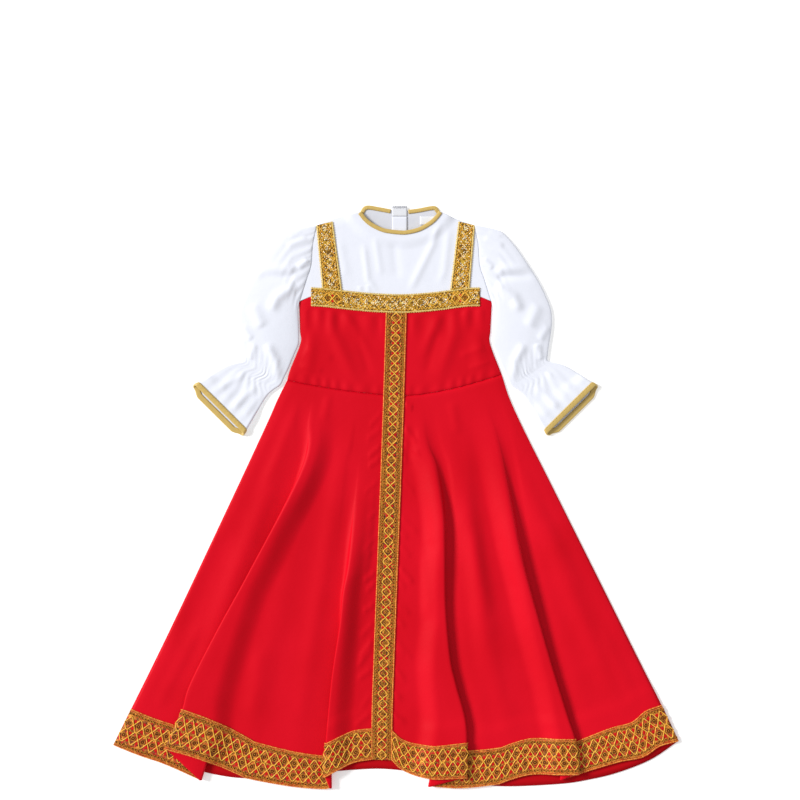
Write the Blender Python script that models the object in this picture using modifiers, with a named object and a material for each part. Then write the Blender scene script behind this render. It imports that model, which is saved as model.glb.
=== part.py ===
"""Party dress for a child, laid flat on a table: white yoke and puff sleeves, red bodice and flared
skirt, gold satin bindings and gold lace trims.

The dress lies in the XY plane with its neck towards +Y, its front up and its back on z = 0.
Tables are in millimetres and MM turns them into Blender's metres.
"""
import math
from collections import namedtuple

import bmesh
import bpy
import numpy as np

MM = 0.001

# Cloth, in millimetres
WALL = 1.0
GAP = 0.3
LAYER = WALL + GAP
TRIM_LIFT = LAYER + 0.2
SEAM_HALF = GAP / 2

# Heights of the middle of each wall above the table
BACK_Z = WALL / 2
SEAM_Z = BACK_Z + LAYER + 0.15
FRONT_Z = 3.6
BACK_NECK_Z = BACK_Z + LAYER
FRONT_NECK_Z = 5.75
SIDE_ROUND = 14.0

# Trims and bindings
HEM_TRIM = 58.0
SKIRT_LENGTH = 585.0
BAND_WIDTH = 32.0
CHEST_BAND_HALF = 13.5
CHEST_BAND_LEFT, CHEST_BAND_RIGHT = -131.6, 130.0
NECK_BINDING = 6.2
CUFF_BINDING = 8.0
BINDING_HALF = LAYER
BINDING_BEND_IN = 0.2
BINDING_BEND_POINTS = 4
CLOSURE_LEFT, CLOSURE_RIGHT = -6.2, 17.1
CLOSURE_X = 5.4
MIRROR_X = -0.8

# Knife folds of the skirt: the bends' arc lengths, the shortest middle layer, the drape beside one
UPPER_BEND = 1.7 * math.pi
LOWER_BEND = 3.0 * math.pi
MIDDLE_MIN = 3.0
DRAPE = 30.0
BEND_STEPS = 4
MIDDLE_STEPS = 2

# Gathers under the chest seam: their length, their height, and the way a crease fades to an edge
GATHER_LENGTH, GATHER_HEIGHT = 26.0, 0.7
FADE = 12.0

# Outlines, each a list of (x, y)
NECK_FRONT = [(-54.5, 442.3), (-46.0, 431.6), (-35.5, 423.4), (-18.0, 415.6), (6.2, 412.4),
              (19.0, 413.0), (36.0, 417.4), (52.5, 427.0), (61.5, 435.6), (67.2, 443.2)]
NECK_BACK_LEFT = [(-54.5, 442.3), (-50.0, 448.9), (-42.5, 451.4), (-25.0, 448.6), (-8.0, 445.4)]
NECK_BACK_RIGHT = [(18.8, 444.6), (36.0, 447.0), (52.5, 450.2), (61.5, 450.0), (67.2, 443.2)]
CLOSURE_TOP = 444.8
ARMHOLE_POINTS = [(-124.0, 421.5), (-130.2, 391.0), (-132.5, 360.0), (-139.5, 338.0), (-150.3, 303.5)]
CHEST_SEAM_POINTS = [(-150.3, 303.5), (-133.3, 311.0), (-110.0, 309.6), (-86.8, 306.8), (-40.3, 302.2),
                     (6.2, 300.2), (37.2, 301.6), (68.2, 304.6), (107.0, 309.8), (131.8, 310.8),
                     (148.7, 303.5)]
WAIST_SEAM_POINTS = [(-169.0, 181.8), (-131.8, 174.1), (-77.5, 165.2), (-20.8, 159.0), (16.1, 157.6),
                     (52.7, 161.4), (99.2, 171.0), (151.0, 186.0), (164.3, 190.3)]
BODICE_LEFT = [(-150.3, 303.5), (-148.8, 259.3), (-148.0, 239.2), (-164.3, 197.3), (-168.6, 181.8)]
BODICE_RIGHT = [(148.7, 303.5), (146.5, 259.3), (145.7, 239.2), (160.5, 199.0), (164.0, 190.3)]
SKIRT_LEFT = [(-168.6, 181.8), (-184.0, 150.8), (-197.6, 119.8), (-231.3, 47.0), (-271.3, -38.3),
              (-331.8, -166.5), (-370.0, -246.0), (-413.6, -334.3), (-438.0, -383.9)]
SKIRT_RIGHT = [(164.0, 190.3), (177.0, 150.8), (202.7, 95.6), (236.4, 28.7), (285.2, -69.0),
               (327.8, -154.2), (370.4, -239.8), (413.1, -325.0), (438.0, -378.0)]
BAND_LEFT = [(-15.5, 284.5), (-20.8, 121.4), (-33.5, -200.0), (-37.5, -314.2), (-37.6, -407.2)]
HEM_BACK = [(-438.0, -383.9), (-381.3, -402.5), (-292.9, -427.3), (-232.5, -435.9), (-164.3, -432.0),
            (-94.5, -425.0), (-20.2, -421.1), (52.7, -430.4), (114.7, -442.8), (169.0, -448.3),
            (254.2, -444.6), (299.0, -438.0), (344.1, -427.0), (395.2, -406.8), (438.0, -378.0)]

# Front hem, one stretch of it for each panel between two folds
HEM_FRONT = {
    "outer_left": [(-438.0, -383.9), (-396.8, -400.2), (-358.1, -413.4), (-302.2, -438.2)],
    "left": [(-357.3, -388.6), (-303.8, -404.1), (-241.8, -430.4), (-232.5, -435.1), (-164.3, -447.5),
             (-110.0, -451.6), (-99.8, -446.7)],
    "centre_left": [(-111.6, -432.8), (-86.8, -419.6), (-63.6, -410.3), (-37.6, -406.0)],
    "centre_band": [(-37.6, -406.0), (-5.6, -407.2)],
    "centre_right": [(-5.6, -407.2), (6.2, -419.6), (24.8, -428.9), (52.7, -434.3), (68.2, -435.1),
                     (108.5, -433.5)],
    "right": [(51.1, -447.5), (99.2, -450.6), (154.5, -445.0), (170.5, -439.7), (196.1, -432.0),
              (218.2, -428.9), (282.1, -428.1)],
    "outer_right": [(255.8, -437.4), (283.7, -428.4), (344.1, -410.3), (382.9, -402.5),
                    (408.4, -385.9), (438.0, -378.0)],
}
# Depth of the hem trim as it lies, at the left and right end of each panel
TRIM_DEPTH = {"outer_left": (56.1, 60.0), "left": (62.0, 51.0), "centre_left": (53.0, 48.0),
              "centre_band": (48.0, 46.0), "centre_right": (46.0, 55.0), "right": (59.0, 55.0),
              "outer_right": (50.0, 56.3)}
PANEL_COLUMNS = {"outer_left": 7, "left": 9, "centre_left": 5, "centre_band": 2, "centre_right": 6,
                 "right": 9, "outer_right": 7}

# A knife fold: the way its edge faces, its overlap at the hem, where down the skirt it starts to
# turn and where it lies flat (0 at the waist, 1 at the hem), and its edge from waist to hem
Fold = namedtuple("Fold", "faces overlap starts flat edge")
FOLDS = {
    "outer_left": Fold(-1, 56.0, 0.02, 0.56, [
        (-120.9, 171.0), (-130.2, 119.8), (-141.1, 47.0), (-226.3, -117.3), (-275.9, -208.8),
        (-318.5, -294.0), (-331.7, -337.4), (-357.3, -388.6)]),
    "inner_left": Fold(-1, 12.0, 0.15, 0.86, [
        (-40.0, 161.7), (-68.2, -75.5), (-80.6, -142.1), (-86.8, -196.4), (-99.2, -276.2),
        (-108.5, -373.9), (-111.6, -432.8)]),
    "inner_right": Fold(1, 57.0, 0.02, 0.58, [
        (34.0, 157.0), (44.2, 86.5), (58.9, 47.0), (71.3, -19.7), (74.4, -69.3), (76.6, -166.9),
        (83.7, -246.0), (93.0, -287.8), (108.5, -349.8), (108.5, -433.5)]),
    "outer_right": Fold(1, 26.0, 0.02, 0.76, [
        (127.1, 178.7), (138.7, 138.4), (156.6, 78.0), (175.2, -7.3), (193.8, -93.3), (218.1, -178.7),
        (241.8, -258.4), (266.6, -337.4), (276.7, -370.0), (282.1, -428.1)]),
}
SKIRT_ORDER = ("outer_left", "left", "centre_left", "centre_band", "centre_right", "right", "outer_right")
FOLD_AFTER = {"outer_left": "outer_left", "left": "inner_left", "centre_right": "inner_right",
              "right": "outer_right"}

# A soft ridge: x and place down the panel at its two ends, its height and half width
Ridge = namedtuple("Ridge", "x_top top x_end end height width")
SKIRT_RIDGES = [
    Ridge(-150.0, 0.08, -335.0, 0.88, 3.0, 15.0),
    Ridge(-100.0, 0.03, -238.0, 0.97, 4.5, 17.0),
    Ridge(-72.0, 0.06, -160.0, 0.92, 3.2, 14.0),
    Ridge(-30.0, 0.20, -62.0, 0.75, 1.6, 6.0),
    Ridge(72.0, 0.03, 182.0, 0.92, 4.5, 17.0),
    Ridge(104.0, 0.06, 140.0, 0.80, 2.5, 13.0),
    Ridge(156.0, 0.10, 358.0, 0.90, 3.2, 16.0),
]
BODICE_RIDGES = [
    Ridge(-118.0, 0.05, -60.0, 0.95, 2.2, 12.0),
    Ridge(-128.0, 0.35, -140.0, 0.98, 1.8, 10.0),
    Ridge(-84.0, 0.04, -40.0, 0.62, 1.5, 9.0),
    Ridge(108.0, 0.05, 62.0, 0.95, 2.2, 12.0),
    Ridge(122.0, 0.35, 134.0, 0.98, 1.8, 10.0),
    Ridge(74.0, 0.04, 40.0, 0.62, 1.5, 9.0),
]
YOKE_RIDGES = [
    Ridge(-47.0, 0.30, -38.0, 0.84, 1.4, 6.0),
    Ridge(-29.0, 0.25, -23.0, 0.82, 1.2, 6.0),
    Ridge(64.0, 0.10, 24.0, 0.84, 1.8, 8.0),
    Ridge(84.0, 0.20, 66.0, 0.84, 1.4, 7.0),
]

# A ring of the left sleeve: its outer and inner edge, its height, and its wave height and count
Ring = namedtuple("Ring", "x_out y_out x_in y_in height wave count")
SLEEVE_RINGS = [
    Ring(-124.8, 421.0, -150.9, 304.6, 3.6, 0.0, 7),
    Ring(-145.7, 420.0, -151.9, 299.0, 4.2, 0.9, 7),
    Ring(-164.0, 412.4, -152.2, 291.0, 4.4, 0.6, 7),
    Ring(-182.5, 393.8, -151.8, 281.0, 4.4, 0.2, 7),
    Ring(-201.0, 368.2, -151.3, 269.0, 4.4, 0.0, 7),
    Ring(-223.6, 332.5, -150.8, 254.0, 4.4, 0.0, 7),
    Ring(-239.8, 296.3, -151.0, 238.5, 4.4, 0.0, 8),
    Ring(-242.9, 274.7, -156.6, 224.5, 4.4, 0.0, 8),
    Ring(-241.4, 254.8, -162.2, 211.3, 4.4, 0.2, 8),
    Ring(-238.4, 236.2, -167.5, 198.4, 4.4, 0.5, 8),
    Ring(-236.6, 222.0, -173.6, 186.0, 4.3, 0.9, 8),
    Ring(-237.0, 211.5, -179.2, 174.6, 4.2, 1.1, 8),
    Ring(-252.4, 207.4, -189.6, 167.0, 4.3, 1.0, 8),
    Ring(-266.4, 202.2, -199.8, 157.8, 4.5, 0.8, 6),
    Ring(-281.8, 193.2, -209.4, 142.8, 4.8, 0.8, 5),
    Ring(-295.4, 184.4, -222.6, 119.2, 6.2, 0.4, 5),
    Ring(-311.0, 175.1, -234.4, 99.2, 6.2, 0.0, 5),
]
SLEEVE_TOP, SLEEVE_BOTTOM, SLEEVE_BEND = 18, 8, 3
CUFF_LIFT_FROM = 14
BACK_EDGE_REACH = 10.0

# Heights of the sleeve's round sides, where it lies flat and where its cuff stands open
FLAT_SIDE, OPEN_SIDE = 4.2, 6.0
ARMHOLE_CLEAR = 1.0

# A crease of the left sleeve: two ends, height and half width
Crease = namedtuple("Crease", "x_a y_a x_b y_b height width")
SLEEVE_CREASES = [
    Crease(-214.0, 345.0, -156.0, 338.0, 3.0, 8.0),
    Crease(-156.0, 330.0, -190.0, 300.0, 3.2, 8.0),
    Crease(-236.0, 262.0, -214.0, 236.0, 2.2, 7.0),
    Crease(-202.0, 250.0, -184.0, 196.0, 2.8, 8.0),
    Crease(-224.0, 300.0, -206.0, 262.0, 2.4, 9.0),
    Crease(-252.0, 137.0, -222.0, 166.0, 1.2, 6.0),
    Crease(-270.0, 190.0, -238.0, 200.0, 1.2, 6.0),
]

STRAPS = {
    # name: top left and right corners, then the x of the low right and left ones
    "strap_left": ((-122.5, 421.4), (-98.8, 427.2), -84.5, -113.5),
    "strap_right": ((97.8, 427.2), (121.4, 421.4), 113.2, 85.0),
}

# A rectangle on the yoke back
Patch = namedtuple("Patch", "left right low high rows cloth")
PATCHES = {
    "back_placket": Patch(CLOSURE_LEFT, CLOSURE_RIGHT, 301.0, 435.4, 10, "white_cloth"),
    "closure_tab": Patch(CLOSURE_LEFT, CLOSURE_RIGHT, 436.0, 451.4, 3, "white_tape"),
    "neck_label": Patch(37.2, 63.6, 422.5, 435.5, 3, "white_tape"),
}

COLOURS = {
    # name: red, green, blue, roughness
    "red_cloth": (0.66, 0.006, 0.018, 0.55),
    "white_cloth": (0.86, 0.87, 0.90, 0.80),
    "gold_satin": (0.60, 0.42, 0.12, 0.35),
    "bright_gold_lace": (0.58, 0.36, 0.05, 0.45),
    "gold_lace": (0.36, 0.15, 0.03, 0.55),
    "white_tape": (0.84, 0.84, 0.84, 0.90),
}


def material(name):
    """The named cloth's material."""
    found = bpy.data.materials.get(name)
    if found:
        return found
    red, green, blue, roughness = COLOURS[name]
    made = bpy.data.materials.new(name)
    made.use_nodes = True
    shader = made.node_tree.nodes["Principled BSDF"]
    shader.inputs["Base Color"].default_value = (red, green, blue, 1.0)
    shader.inputs["Roughness"].default_value = roughness
    shader.inputs["Metallic"].default_value = 0.0
    return made


def add_sheet(collection, name, grid, cloth, closed=False):
    """One wall of cloth on a grid of points (rows, columns, xyz), or a tube where closed."""
    rows, columns = grid.shape[:2]
    mesh = bpy.data.meshes.new(name)
    bm = bmesh.new()
    verts = [bm.verts.new(point) for point in grid.reshape(-1, 3) * MM]
    for row in range(rows - 1):
        for column in range(columns if closed else columns - 1):
            after = (column + 1) % columns
            bm.faces.new((verts[row * columns + column], verts[(row + 1) * columns + column],
                          verts[(row + 1) * columns + after], verts[row * columns + after]))
    bm.to_mesh(mesh)
    bm.free()
    mesh.shade_smooth()
    mesh.materials.append(material(cloth))
    piece = bpy.data.objects.new(name, mesh)
    collection.objects.link(piece)
    wall = piece.modifiers.new("wall", "SOLIDIFY")
    wall.thickness = WALL * MM
    wall.offset = 0.0
    wall.use_even_offset = not closed
    return piece


def smooth(t):
    """0 below 0, 1 above 1 and an even S between."""
    t = np.clip(t, 0.0, 1.0)
    return t * t * (3.0 - 2.0 * t)


def x_at(line, y):
    """x of a line that runs up or down, at y."""
    points = sorted(line, key=lambda point: point[1])
    return np.interp(y, [p[1] for p in points], [p[0] for p in points])


def y_at(line, x):
    """y of a line that runs across, at x."""
    points = sorted(line)
    return np.interp(x, [p[0] for p in points], [p[1] for p in points])


def along(line, t):
    """x of a line at t, 0 at its first point's y and 1 at its last one's."""
    return x_at(line, line[0][1] + (line[-1][1] - line[0][1]) * t)


def curved(line, per_stretch=4):
    """A line through the same points with smooth bends, each stretch in equal steps."""
    points = np.array(line)
    slopes = np.gradient(points, axis=0)
    steps = np.linspace(0.0, 1.0, per_stretch, endpoint=False)[:, None]
    made = []
    for p, q, m, n in zip(points, points[1:], slopes, slopes[1:]):
        made.append(p * (1 + 2 * steps) * (1 - steps) ** 2 + m * steps * (1 - steps) ** 2
                    + q * steps ** 2 * (3 - 2 * steps) - n * steps ** 2 * (1 - steps))
    return [tuple(point) for point in np.concatenate(made)] + [tuple(line[-1])]


def snapped(values, stops):
    """Values with the one nearest to each stop moved onto it."""
    values = np.array(values)
    for stop in stops:
        values[np.argmin(np.abs(values - stop))] = stop
    return values


def distance(x, y, line):
    """Distance in the table's plane from each point to the nearest stretch of a line."""
    nearest = np.full(np.shape(x), np.inf)
    for (xa, ya), (xb, yb) in zip(line, line[1:]):
        run = (xb - xa) ** 2 + (yb - ya) ** 2
        t = np.clip(((x - xa) * (xb - xa) + (y - ya) * (yb - ya)) / run, 0.0, 1.0)
        nearest = np.minimum(nearest, np.hypot(x - xa - t * (xb - xa), y - ya - t * (yb - ya)))
    return nearest


def normals(grid, closed=False):
    """Unit normals of a grid's points, on the side that faces up where rows run down the dress."""
    if closed:
        across = np.roll(grid, -1, axis=1) - np.roll(grid, 1, axis=1)
    else:
        across = np.gradient(grid, axis=1)
    normal = np.cross(np.gradient(grid, axis=0), across)
    return normal / np.linalg.norm(normal, axis=2, keepdims=True)


def moved_out(grid, lift):
    """A copy of a grid on the outer side of its wall."""
    return grid + normals(grid) * lift


def rounded(inset):
    """Share of its full height that a front panel has at this distance from a closed side."""
    return 1.0 - (1.0 - np.clip(inset / SIDE_ROUND, 0.0, 1.0)) ** 2


def ridge_height(ridges, x, t):
    """Height that a panel's soft ridges add at x and at t down the panel."""
    total = np.zeros(np.broadcast(x, t).shape)
    for ridge in ridges:
        share = np.clip((t - ridge.top) / (ridge.end - ridge.top), 0.0, 1.0)
        middle = ridge.x_top + (ridge.x_end - ridge.x_top) * share
        total += ridge.height * np.sin(np.pi * share) * np.exp(-(((x - middle) / ridge.width) ** 2))
    return total


ARMHOLE = curved(ARMHOLE_POINTS)
CHEST_SEAM = [CHEST_SEAM_POINTS[0], *curved(CHEST_SEAM_POINTS[1:-1]), CHEST_SEAM_POINTS[-1]]
CHEST_CORNERS = (CHEST_SEAM_POINTS[1][0], CHEST_SEAM_POINTS[-2][0])
WAIST_SEAM = curved(WAIST_SEAM_POINTS)


# The waist seam lies this much lower at the centre band than at its left end
WAIST_DROP = 20.0


def band_edges(y):
    """x of the centre band's two sides at y."""
    left = x_at(BAND_LEFT, y)
    return left, left + BAND_WIDTH


def spaced(*stops):
    """Stops joined into one list of columns: pairs of (value, steps from the one before)."""
    values = [stops[0][0]]
    for value, steps in stops[1:]:
        values.extend(np.linspace(values[-1], value, steps + 1)[1:])
    return np.array(values)


# Skirt

TRIM_RAMP = 20.0
TRIM_ROWS = 2
SKIRT_T = np.concatenate([np.array([0.0, 0.05, 0.12, 0.23, 0.31, 0.42, 0.53, 0.64, 0.74]),
                          1.0 - np.array([103.0, HEM_TRIM + TRIM_RAMP, HEM_TRIM, 0.0]) / SKIRT_LENGTH])
SKIRT_BACK_T = np.array([0.0, 0.12, 0.31, 0.53, 0.74, *SKIRT_T[-3:]])
BACK_COLUMNS = 17


def hem_lift(t, lead):
    """Height that a panel gains, lead rows before the trim, to clear the back trim."""
    full = 1.0 - (HEM_TRIM + TRIM_RAMP * lead) / SKIRT_LENGTH
    start = full - TRIM_RAMP / SKIRT_LENGTH
    return LAYER * np.clip((t - start) / (full - start), 0.0, 1.0)


def fold_path(fold, t):
    """Points (x, z) across a fold at t, from the end of its upper layer to its lower one."""
    turn = math.pi * float(smooth((t - fold.starts) / (fold.flat - fold.starts)))
    flat = fold.overlap - (UPPER_BEND + LOWER_BEND) / math.pi
    middle = MIDDLE_MIN + (flat - MIDDLE_MIN) * np.clip((t - fold.flat) / (1.0 - fold.flat), 0.0, 1.0)
    steps = (np.arange(BEND_STEPS) + 0.5) / BEND_STEPS
    angles = np.concatenate([turn * steps, np.full(MIDDLE_STEPS, turn), turn * (1.0 - steps)])
    lengths = np.concatenate([np.full(BEND_STEPS, UPPER_BEND / BEND_STEPS),
                              np.full(MIDDLE_STEPS, middle / MIDDLE_STEPS),
                              np.full(BEND_STEPS, LOWER_BEND / BEND_STEPS)])
    x = np.append(0.0, np.cumsum(lengths * np.cos(angles)))
    z = np.append(0.0, -np.cumsum(lengths * np.sin(angles)))
    return x, z


def fold_row(fold, t):
    """A fold's x from left to right, its z above the lower layer, and its hidden tip's x."""
    x, z = fold_path(fold, t)
    start = along(fold.edge, t) - fold.faces * UPPER_BEND / math.pi
    x = start + fold.faces * x
    z = z - z[-1]
    tip = x.min() if fold.faces > 0 else x.max()
    if fold.faces > 0:
        return x, z, max(tip, start - fold.overlap)
    return x[::-1], z[::-1], min(tip, start + fold.overlap)


def skirt_front_grid():
    """Points of the folded skirt front, and the columns at which each panel starts and ends."""
    rows = []
    for t in SKIRT_T:
        folds = {name: fold_row(fold, t) for name, fold in FOLDS.items()}
        y_here = WAIST_SEAM[0][1] + (HEM_BACK[0][1] - WAIST_SEAM[0][1]) * t
        band_x = band_edges(y_here - WAIST_DROP * (1.0 - t))
        starts = {"outer_left": along(SKIRT_LEFT, t), "left": folds["outer_left"][0][-1],
                  "centre_left": folds["inner_left"][0][-1], "centre_band": band_x[0],
                  "centre_right": band_x[1], "right": folds["inner_right"][0][-1],
                  "outer_right": folds["outer_right"][0][-1]}
        ends = {"outer_left": folds["outer_left"][0][0], "left": folds["inner_left"][0][0],
                "centre_left": band_x[0], "centre_band": band_x[1],
                "centre_right": folds["inner_right"][0][0], "right": folds["outer_right"][0][0],
                "outer_right": along(SKIRT_RIGHT, t)}
        raised_by = {"left": "outer_left", "centre_left": "inner_left", "centre_right": "inner_right",
                     "right": "outer_right"}
        low = FRONT_Z + hem_lift(t, 1)
        seam = SEAM_Z + hem_lift(t, 1)
        xs, zs, spans, count = [], [], {}, 0
        for name in SKIRT_ORDER:
            x = np.linspace(starts[name], ends[name], PANEL_COLUMNS[name] + 1)
            inset = np.minimum(x - starts["outer_left"], ends["outer_right"] - x)
            z = seam + (low - seam) * rounded(inset)
            if name in raised_by:
                fold = FOLDS[raised_by[name]]
                _, fold_z, tip = folds[raised_by[name]]
                z = z + fold_z.max() * (1.0 - smooth((tip - x) * fold.faces / DRAPE))
            if name != "centre_band":
                clear = smooth(np.minimum(x - starts[name], ends[name] - x) / FADE)
                z = z + ridge_height(SKIRT_RIDGES, x, t) * clear
            skip = 1 if xs else 0
            xs.append(x[skip:])
            zs.append(z[skip:])
            first = count - skip
            count += len(x) - skip
            spans[name] = (first, count - 1)
            if name in FOLD_AFTER:
                fold_x, fold_z, _ = folds[FOLD_AFTER[name]]
                xs.append(fold_x[1:])
                zs.append(low + fold_z[1:])
                count += len(fold_x) - 1
        rows.append((np.concatenate(xs), np.concatenate(zs)))
    x = np.array([row[0] for row in rows])
    z = np.array([row[1] for row in rows])
    hem, depth = np.zeros(x.shape[1]), np.zeros(x.shape[1])
    for name in SKIRT_ORDER:
        first, last = spans[name]
        hem[first:last + 1] = y_at(HEM_FRONT[name], x[-1, first:last + 1])
        depth[first:last + 1] = np.linspace(*TRIM_DEPTH[name], last - first + 1)
        if name in FOLD_AFTER:
            fold = FOLDS[FOLD_AFTER[name]]
            following = SKIRT_ORDER[SKIRT_ORDER.index(name) + 1]
            begin, end = hem[last], y_at(HEM_FRONT[following], x[-1, spans[following][0]])
            bends = np.clip((np.arange(1, 2 * BEND_STEPS + MIDDLE_STEPS + 1) - BEND_STEPS) / MIDDLE_STEPS,
                            0.0, 1.0)
            hem[last + 1:last + 1 + len(bends)] = begin + (end - begin) * bends
            begin, end = TRIM_DEPTH[name][1], TRIM_DEPTH[following][0]
            depth[last + 1:last + 1 + len(bends)] = begin + (end - begin) * bends
    waist = y_at(WAIST_SEAM, x[0]) - SEAM_HALF
    trim_top = 1.0 - HEM_TRIM / SKIRT_LENGTH
    above = np.minimum(SKIRT_T / trim_top, 1.0)[:, None]
    within = np.maximum(SKIRT_T - trim_top, 0.0)[:, None] / (1.0 - trim_top)
    y = waist + (hem + depth - waist) * above - depth * within
    return np.stack([x, y, z], axis=2), spans


def skirt_back_grid():
    """Points of the flat skirt back, raised at the hem by the trim under it."""
    t = SKIRT_BACK_T[:, None]
    left, right = along(SKIRT_LEFT, t), along(SKIRT_RIGHT, t)
    x = left + (right - left) * np.linspace(0.0, 1.0, BACK_COLUMNS)
    waist = y_at(WAIST_SEAM, x[0]) - SEAM_HALF
    y = waist + (y_at(HEM_BACK, x[-1]) - waist) * t
    return np.stack([x, y, BACK_Z + hem_lift(t, 0) + np.zeros(x.shape)], axis=2)


# Bodice

BODICE_T = np.array([0.0, 0.12, 0.24, 0.37, 0.5, 0.64, 0.78, 0.9, 1.0])
BODICE_BACK_T = np.array([0.0, 0.5, 0.8, 1.0])
BODICE_BACK_COLUMNS = 19
BODICE_SIDE_COLUMNS = 9
GATHER_TOP, GATHER_END = 0.12, 0.42


def bodice_plan(fractions, t):
    """x and y of a bodice panel at fractions across and t down."""
    t = t[:, None]
    left, right = BODICE_LEFT, BODICE_RIGHT
    x_top = left[0][0] + (right[0][0] - left[0][0]) * fractions
    fractions = (snapped(x_top, CHEST_CORNERS) - left[0][0]) / (right[0][0] - left[0][0])
    x_top = left[0][0] + (right[0][0] - left[0][0]) * fractions
    x_end = left[-1][0] + (right[-1][0] - left[-1][0]) * fractions
    y = y_at(CHEST_SEAM, x_top) - SEAM_HALF
    y = y + (y_at(WAIST_SEAM, x_end) + SEAM_HALF - y) * t
    x = along(left, t) + (along(right, t) - along(left, t)) * fractions
    return x, y


def bodice_height(x, y, t):
    """Height of the bodice front: rounded at its sides, gathered under the chest seam, creased."""
    inset = np.minimum(x - x_at(BODICE_LEFT, y), x_at(BODICE_RIGHT, y) - x)
    z = SEAM_Z + (FRONT_Z - SEAM_Z) * rounded(inset)
    band_x = band_edges(y)
    clear = smooth((np.maximum(band_x[0] - x, x - band_x[1]) - 2.0) / FADE) * smooth((inset - 4.0) / FADE)
    below_seam = smooth((t - GATHER_TOP) / 0.1)
    gathers = GATHER_HEIGHT * np.sin(2.0 * math.pi * x / GATHER_LENGTH) * smooth((GATHER_END - t) / 0.2)
    return z + clear * below_seam * (gathers + ridge_height(BODICE_RIDGES, x, t))


def bodice_front_grid():
    """Points of the bodice front, with the columns of the centre band."""
    left, width = BODICE_LEFT[0][0], BODICE_RIGHT[0][0] - BODICE_LEFT[0][0]
    band_left = (BAND_LEFT[0][0] - left) / width
    fractions = spaced((0.0, 0), (band_left, BODICE_SIDE_COLUMNS), (band_left + BAND_WIDTH / width, 2),
                       (1.0, BODICE_SIDE_COLUMNS))
    x, y = bodice_plan(fractions, BODICE_T)
    return np.stack([x, y, bodice_height(x, y, BODICE_T[:, None])], axis=2)


def bodice_back_grid():
    """Points of the flat bodice back."""
    x, y = bodice_plan(np.linspace(0.0, 1.0, BODICE_BACK_COLUMNS), BODICE_BACK_T)
    return np.stack([x, y, np.full(x.shape, BACK_Z)], axis=2)


def centre_band_grid(skirt, spans):
    """Points of the centre band, on the bodice front and then on the skirt front."""
    top, waist = y_at(CHEST_SEAM, 0.0) - CHEST_BAND_HALF - 2 * GAP, y_at(WAIST_SEAM, 0.0) + 3.0
    y = np.linspace(top, waist, 5)[:, None]
    left, right = band_edges(y)
    x = left + (right - left) * np.array([0.0, 0.5, 1.0])
    upper = np.stack([x, y + np.zeros(x.shape), np.full(x.shape, FRONT_Z)], axis=2)
    first, last = spans["centre_band"]
    grid = np.concatenate([upper, skirt[1:, first:last + 1]])
    return moved_out(grid, TRIM_LIFT)


# Yoke

YOKE_STEPS = (9.0, 24.0)
YOKE_FRONT_ROWS, YOKE_BACK_ROWS = 6, 5
NECK_RAISED, NECK_RAMP = 13.0, 17.0
CREASE_END = 0.86
SHOULDER_COLUMNS = 3


def armhole_x(y, side):
    """x of the armhole seam at y, on the left side (-1) or the right side (1)."""
    left = x_at(ARMHOLE, y)
    return left if side < 0 else 2.0 * MIRROR_X - left


def yoke_grid(top, rows, left_side, right_side):
    """x, y and t of a yoke panel that hangs from its top points down to the chest seam."""
    top = np.array(top)
    span = top[:, 0] - top[0, 0]
    share = span / span[-1]
    x_low = -150.3 if left_side else CLOSURE_X + SEAM_HALF
    x_high = 148.7 if right_side else CLOSURE_X - SEAM_HALF
    corners = [c for c, wanted in zip(CHEST_CORNERS, (left_side, right_side)) if wanted]
    x_end = snapped(x_low + (x_high - x_low) * share, corners)
    y_end = y_at(CHEST_SEAM, x_end) + SEAM_HALF
    length = top[:, 1] - y_end
    first = np.array([0.0, *YOKE_STEPS])[:, None] / length
    rest = first[-1] + (1.0 - first[-1]) * np.linspace(0.0, 1.0, rows + 1)[1:, None]
    t = np.concatenate([first, rest])
    x = top[:, 0] + (x_end - top[:, 0]) * t
    y = top[:, 1] + (y_end - top[:, 1]) * t
    for side, wanted, weight in ((-1, left_side, 1.0 - share), (1, right_side, share)):
        if wanted:
            edge = 0 if side < 0 else -1
            bow = armhole_x(y, side) - (x[0, edge] + (x[-1, edge] - x[0, edge])
                                        * (y - y[0, edge]) / (y[-1, edge] - y[0, edge]))
            x = x + bow * np.clip(2.5 * weight - 1.5, 0.0, 1.0)
    return x, y, t


def refined(line, per_stretch):
    """A line with each stretch cut into equal parts."""
    points = [line[0]]
    for (xa, ya), (xb, yb) in zip(line, line[1:]):
        for step in range(1, per_stretch + 1):
            f = step / per_stretch
            points.append((xa + (xb - xa) * f, ya + (yb - ya) * f))
    return points


SHOULDER_LEFT = [ARMHOLE[0], (-98.9, 430.8), NECK_FRONT[0]]
SHOULDER_RIGHT = [NECK_FRONT[-1], (88.0, 432.9), (2.0 * MIRROR_X - ARMHOLE[0][0], ARMHOLE[0][1])]
NECK_FRONT_FINE = curved(NECK_FRONT, 2)


def neck_distance(x, y):
    """Distance from each point to the nearest neckline."""
    lines = (NECK_FRONT, NECK_BACK_LEFT, NECK_BACK_RIGHT)
    return np.minimum.reduce([distance(x, y, line) for line in lines])


def yoke_front_base(x, y):
    """Height of the yoke front without creases: low at the shoulder seams, raised round the neck."""
    shoulder = np.minimum(distance(x, y, SHOULDER_LEFT), distance(x, y, SHOULDER_RIGHT))
    z = SEAM_Z + (FRONT_Z - SEAM_Z) * rounded(shoulder)
    return z + (FRONT_NECK_Z - z) * smooth((NECK_RAISED + NECK_RAMP - neck_distance(x, y)) / NECK_RAMP)


def yoke_front_height(x, y, t):
    """Height of the creased yoke front."""
    z, neck = yoke_front_base(x, y), neck_distance(x, y)
    clear = smooth((neck - NECK_RAISED) / FADE) * smooth((CREASE_END - t) / 0.1)
    return z + ridge_height(YOKE_RIDGES, x, t) * clear


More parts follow.
